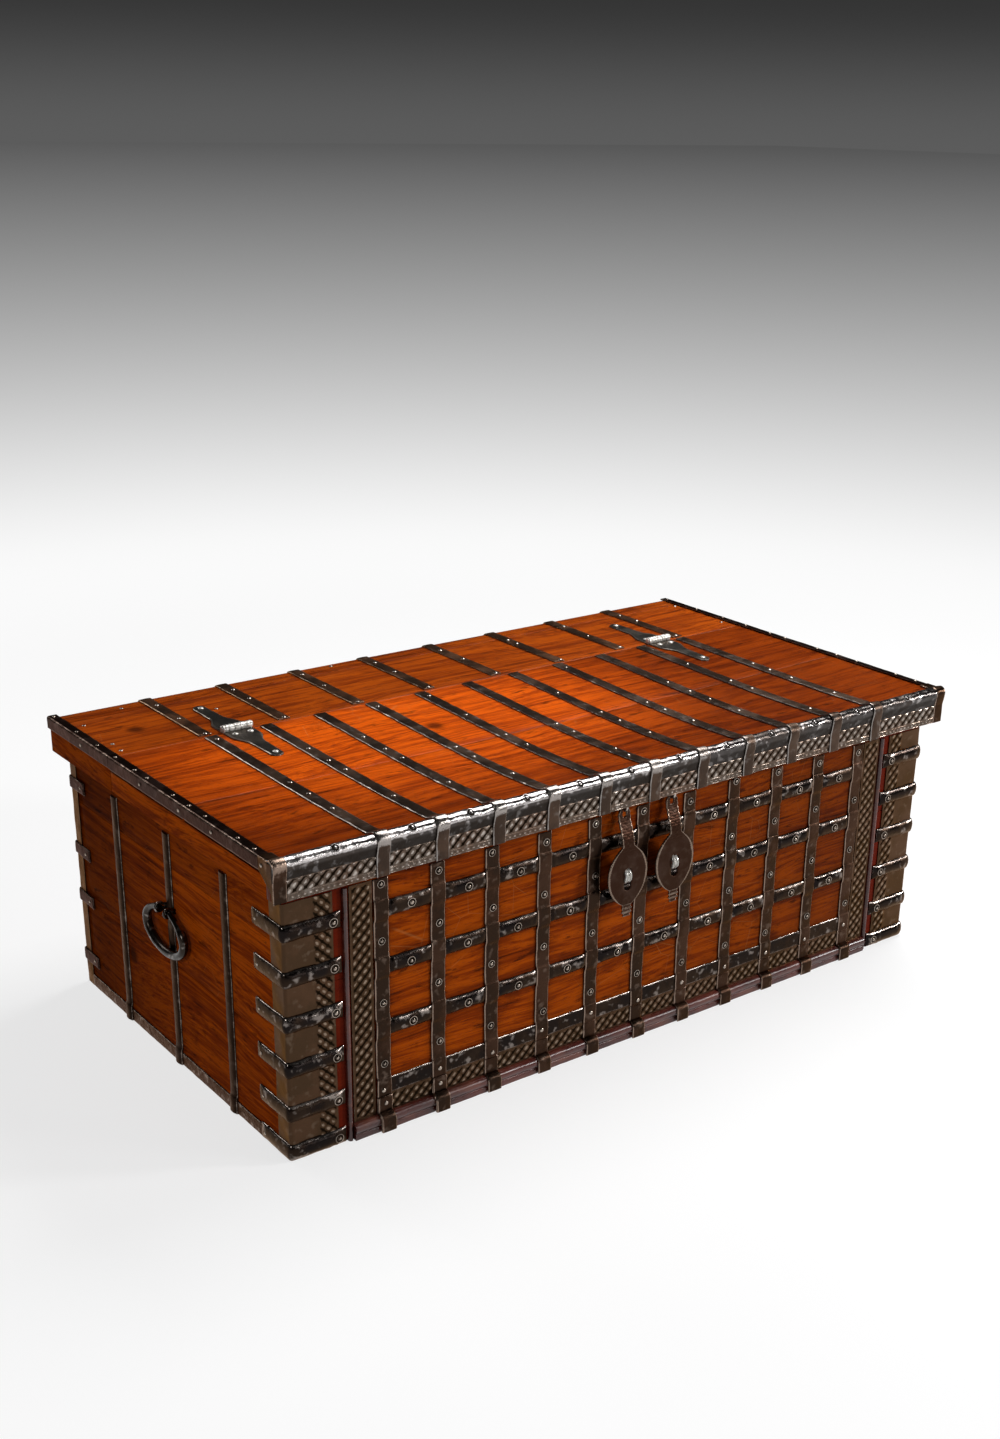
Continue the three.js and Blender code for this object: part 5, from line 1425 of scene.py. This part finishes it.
def hasp_sheet(x, toward):
    """The middle surface of one half of a hasp, on a grid of rows down it and columns from its
    holes to its edge, with the shine of its rims."""
    down = np.linspace(EYE_TOP - EYE_RIM + 0.02 * MM, HASP_LENGTH, 232)
    outer = hasp_half_width(down)
    slot_top = slot_middle - SLOT_TALL / 2
    inner = (round_hole(down, EYE_TOP, EYE_TOP + EYE_TALL, EYE_HALF)
             + round_hole(down, slot_top, slot_top + SLOT_TALL, SLOT_HALF))
    outer = np.maximum(outer, inner + 0.2 * MM)
    share = np.array([0, 0.12, 0.35, 0.6, 0.82, 0.93, 1])
    across = inner[:, None] + (outer - inner)[:, None] * share
    lean = smooth(down, 0.06 * HASP_LENGTH, 0.34 * HASP_LENGTH)[:, None]
    neck = 1 - smooth(down, 0.36 * HASP_LENGTH, 0.42 * HASP_LENGTH)[:, None]
    punch = 0.35 * MM * wavy(down[:, None] * 3 + across * 5, 88, 0.02) * neck
    ribs = np.cos(2 * math.pi * (down - HASP_LENGTH) / RIB_PITCH)[:, None] * smooth(
        down, 0.88 * HASP_LENGTH, 0.9 * HASP_LENGTH)[:, None]
    punch = punch + 0.45 * MM * ribs
    points = np.stack([x + toward * across, hang_y - plate_reach * lean - punch,
                       np.broadcast_to(hang_z - down[:, None], across.shape)], -1)
    rim = np.broadcast_to(np.where(share > 0.9, 1.0, 0.0), across.shape).copy()
    rim += 0.5 * (share < 0.05) * (inner[:, None] > 0) + 0.35 * neck + 0.8 * (ribs > 0.2)
    count, columns = across.shape
    at = np.arange(count * columns).reshape(count, columns)
    faces = np.stack([at[:-1, :-1], at[:-1, 1:], at[1:, 1:], at[1:, :-1]], -1).reshape(-1, 4)
    return points.reshape(-1, 3), faces[:, ::toward], np.clip(rim, 0, 1).ravel()


hasp_iron = iron_finish("brown_hasp_iron", (0.024, 0.010, 0.006, 1), (0.028, 0.011, 0.006, 1),
                        (0.24, 0.18, 0.14, 1), 0.1, 0.95, 0.35 * MM)
staple_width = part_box("left_staple")[1].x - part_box("left_staple")[0].x
RIDGED = (np.array([-1, -1, -0.82, -0.45, -0.07, 0.07, 0.45, 0.82, 1, 1]),
          np.array([0, 0.72, 0.98, 1.05, 0.66, 0.66, 1.05, 0.98, 0.72, 0]),
          np.array([0.2, 0.8, 1, 1, 0, 0, 1, 1, 0.8, 0.2]))
STAPLE_IRON = 4 * MM
STAPLE_PROUD = 4 * MM
for side, name in SIDES:
    low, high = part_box(f"{name}_hasp")
    x = (low.x + high.x) / 2
    hasp = piece(f"{name}_hasp_plate", joined(hasp_sheet(x, toward) for toward in (1, -1)),
                 hasp_iron, "dark_iron", f"{name}_hasp", f"{name}_hasp")
    weld(hasp, 0.05 * MM)
    thick = hasp.modifiers.new("thickness", "SOLIDIFY")
    thick.thickness = HASP_IRON
    thick.offset = 0
    low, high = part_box(f"{name}_hasp_loop")
    line = np.concatenate([[(hang_y - LOOP_BEND, high.z)],
                           arc(hang_y, hang_z, LOOP_BEND, 180, 360, 16),
                           [(hang_y + LOOP_BEND, high.z)]])
    piece(f"{name}_hasp_wire_loop", rod(at_x(x, line), ALONG_X, LOOP_WIRE, 0.9), nail_iron,
          "dark_iron", "lid", f"{name}_hasp_loop")
    low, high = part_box(f"{name}_staple")
    middle_z, half = (low.z + high.z) / 2, (high.z - low.z) / 2
    tip = top_front - STAPLE_PROUD
    inner = half - STAPLE_IRON
    line = np.concatenate([[(high.y, middle_z + inner)],
                           arc(tip + half, middle_z, inner, 90, 270, 14),
                           [(high.y, middle_z - inner)]])
    piece(f"{name}_staple_band",
          strap(at_x(x, line), ALONG_X, staple_width, STAPLE_IRON, seed=450 + side,
                section=RIDGED, step=2.5 * MM, wander=0.1 * MM),
          bright_steel, "bright_steel", "root", f"{name}_staple")


# Bail handles: a round bar forged to an oval, thick in the hand and thin in its eyes, hangs over
# the middle bar of each end. Its eyes are rods bent round it and driven into the end board.
bail_iron = iron_finish("polished_bail_iron", (0.034, 0.028, 0.024, 1), (0.032, 0.023, 0.017, 1),
                        (0.45, 0.41, 0.38, 1), 1.0, 1.1, 0.2 * MM, (1, 1, 1, 1))
BAIL_HALF, BAIL_DROP = 60 * MM, 34 * MM
BAIL_BAR, BAIL_STUB = 7 * MM, 4.4 * MM
EYE_ROD = 2.2 * MM
for side, name in SIDES:
    low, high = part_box(f"{name}_bail")
    pivot_x = (low.x + high.x) / 2
    pivot_z = (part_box(f"{name}_bail_front_eye")[0].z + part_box(f"{name}_bail_front_eye")[1].z) / 2
    eye_y = (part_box(f"{name}_bail_rear_eye")[1].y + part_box(f"{name}_bail_rear_eye")[0].y) / 2
    eye_off = eye_y - bail_y
    angle = np.radians(np.linspace(52, -232, 24))
    oval = np.stack([BAIL_HALF * np.cos(angle), BAIL_DROP * (np.sin(angle) - 1)], -1)
    stub = np.array([(eye_off - 5 * MM, 0), (eye_off, 0), (eye_off + 7 * MM, 0)])
    line = through(np.concatenate([stub, oval, stub[::-1] * (-1, 1)]), 4)
    gone = np.linspace(0, 1, len(line))
    share = smooth(np.minimum(gone, 1 - gone), 0.07, 0.2)
    radius = BAIL_STUB + (BAIL_BAR - BAIL_STUB) * share + 0.15 * MM * wavy(gone * 0.5, 91 + side)
    line = line + (bail_y, pivot_z)
    piece(f"{name}_bail_handle",
          rod(at_x(pivot_x, line), ALONG_X, radius, 0.5 - 0.2 * share[:, None], 16),
          bail_iron, "dark_iron", f"{name}_handle", f"{name}_bail")
    for place in ("front", "rear"):
        low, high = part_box(f"{name}_bail_{place}_eye")
        y = (low.y + high.y) / 2
        ring = BAIL_STUB + SEAT + EYE_ROD
        inside = min(abs(low.x), abs(high.x)) - abs(pivot_x)
        leg = EYE_ROD + SEAT
        flat = np.concatenate([[(inside, leg), (-ring - EYE_ROD, leg)],
                               arc(0, 0, ring, 130, -130, 12),
                               [(-ring - EYE_ROD, -leg), (inside, -leg)]])
        flat = through(flat, 4)
        line = np.stack(np.broadcast_arrays(pivot_x + side * flat[:, 0], y,
                                            pivot_z + flat[:, 1]), -1)
        piece(f"{name}_bail_{place}_staple", rod(line, ALONG_Y, EYE_ROD, 0.6, 10), bail_iron,
              "dark_iron", "root", f"{name}_bail_{place}_eye")


# Floor, light and camera. The floor is pale and plain and goes grey in the distance, as the
# backdrop above it does. The light is soft and comes from above and the front right, and the
# camera stands where the photograph's did.
def background_rays(tree):
    """1 for rays that see the background, from the camera or by a reflection, and 0 for those
    that carry its light to the chest."""
    rays = node(tree, "ShaderNodeLightPath", {}).outputs
    camera, glossy, clear = (Wire(rays[f"Is {kind} Ray"])
                             for kind in ("Camera", "Glossy", "Transmission"))
    return maths("MAXIMUM", maths("MAXIMUM", camera, glossy), clear)


FLOOR_GLOW = (0.16, 0.16, 0.16, 1)
FLOOR_NEAR = (0.93, 0.93, 0.93, 1)
BLACK = (0, 0, 0, 1)
FAR_TONE = 0.05
NEARNESS_TONE = 3.4
WHITE_SHARE = 0.7


def pale_floor(tree):
    """Pale near the chest, partly lit, so that it keeps the shadow, and partly white of its own.
    Far away it shows only a tone of its own, which falls as one over the distance."""
    off = feed("ShaderNodeVectorMath", {0: object_place(tree)}, "Value", operation="LENGTH")
    far = between(off, 1.3, 3.4, WHITE_SHARE, 1.0) * background_rays(tree)
    tone = maths("SMOOTH_MIN", maths("DIVIDE", NEARNESS_TONE, off) + FAR_TONE, 1.0, 0.6)
    lit = mixed(background_rays(tree), FLOOR_GLOW, FLOOR_NEAR)
    return {"Base Color": mixed(far, lit, BLACK), "Emission Color": mixed(far, BLACK, grey(tone))}


FLOOR_HALF = 60.0
quarters = ((-1, -1), (1, -1), (1, 1), (-1, 1))
floor_points = [(x * FLOOR_HALF, y * FLOOR_HALF, 0) for x, y in quarters]
floor_mesh = bpy.data.meshes.new("floor")
floor_mesh.from_pydata(floor_points, [], [(0, 1, 2, 3)])
floor_mesh.materials.append(principled("pale_floor", pale_floor, Roughness=0.9,
                                       Specular_IOR_Level=0.1, Emission_Strength=1))
floor = bpy.data.objects.new("floor", floor_mesh)
bpy.context.scene.collection.objects.link(floor)

AMBIENT = (0.075, 0.075, 0.08, 1)
HORIZON = (0.107, 0.107, 0.107, 1)
ABOVE = (0.034, 0.034, 0.034, 1)
world = bpy.data.worlds.new("studio")
bpy.context.scene.world = world
world.use_nodes = True
tree = world.node_tree
gaze = Wire(node(tree, "ShaderNodeTexCoord", {}).outputs["Generated"])
rise = feed("ShaderNodeSeparateXYZ", {"Vector": gaze}, "Z")
paper = mixed(between(rise, -0.02, 0.06), HORIZON, ABOVE)
tree.links.new(mixed(background_rays(tree), AMBIENT, paper).socket,
               tree.nodes["Background"].inputs["Color"])


def area_light(name, place, target, size, power, tall=None):
    """A square lamp, or one as tall as given, that faces a target."""
    data = bpy.data.lights.new(name, "AREA")
    data.shape = "RECTANGLE"
    data.size, data.size_y = size, tall or size
    data.energy = power
    lamp = bpy.data.objects.new(name, data)
    lamp.location = place
    lamp.rotation_euler = (Vector(target) - Vector(place)).to_track_quat("-Z", "Y").to_euler()
    bpy.context.scene.collection.objects.link(lamp)


chest_middle = (0, 0, 0.25)
area_light("overhead", (1.3, 0.3, 2.55), chest_middle, 1.6, 73, 1.3)
area_light("key", (5.0, -3.4, 2.25), chest_middle, 0.8, 225, 0.7)
area_light("front_box", (1.5, -2.4, 1.35), chest_middle, 0.6, 19, 0.5)
area_light("low_front_box", (0.5, -3.1, 0.65), chest_middle, 0.6, 6, 0.5)
area_light("fill", (-2.6, -1.6, 1.6), chest_middle, 0.5, 14)
area_light("edge_light", (-1.1, 2.2, 1.9), chest_middle, 0.9, 14)

AZIMUTH, ELEVATION, ROLL = -0.6606007, 0.3946615, 0.0195968
camera_data = bpy.data.cameras.new("camera")
camera_data.lens = 43.50
camera_data.sensor_width = 36
camera_data.shift_x = -0.02446
camera_data.shift_y = 0.0792
camera = bpy.data.objects.new("camera", camera_data)
behind = np.array([math.sin(AZIMUTH) * math.cos(ELEVATION),
                   -math.cos(AZIMUTH) * math.cos(ELEVATION), math.sin(ELEVATION)])
level = np.array([math.cos(AZIMUTH), math.sin(AZIMUTH), 0])
upward = np.cross(behind, level)
right = math.cos(ROLL) * level + math.sin(ROLL) * upward
up = math.cos(ROLL) * upward - math.sin(ROLL) * level
pose = np.eye(4)
pose[:3, 0], pose[:3, 1], pose[:3, 2] = right, up, behind
pose[:3, 3] = (-1.63103, -2.16533, 1.36355)
camera.matrix_world = pose.T.tolist()
bpy.context.scene.collection.objects.link(camera)
bpy.context.scene.camera = camera

settings = bpy.context.scene.view_settings
settings.view_transform = "Standard"
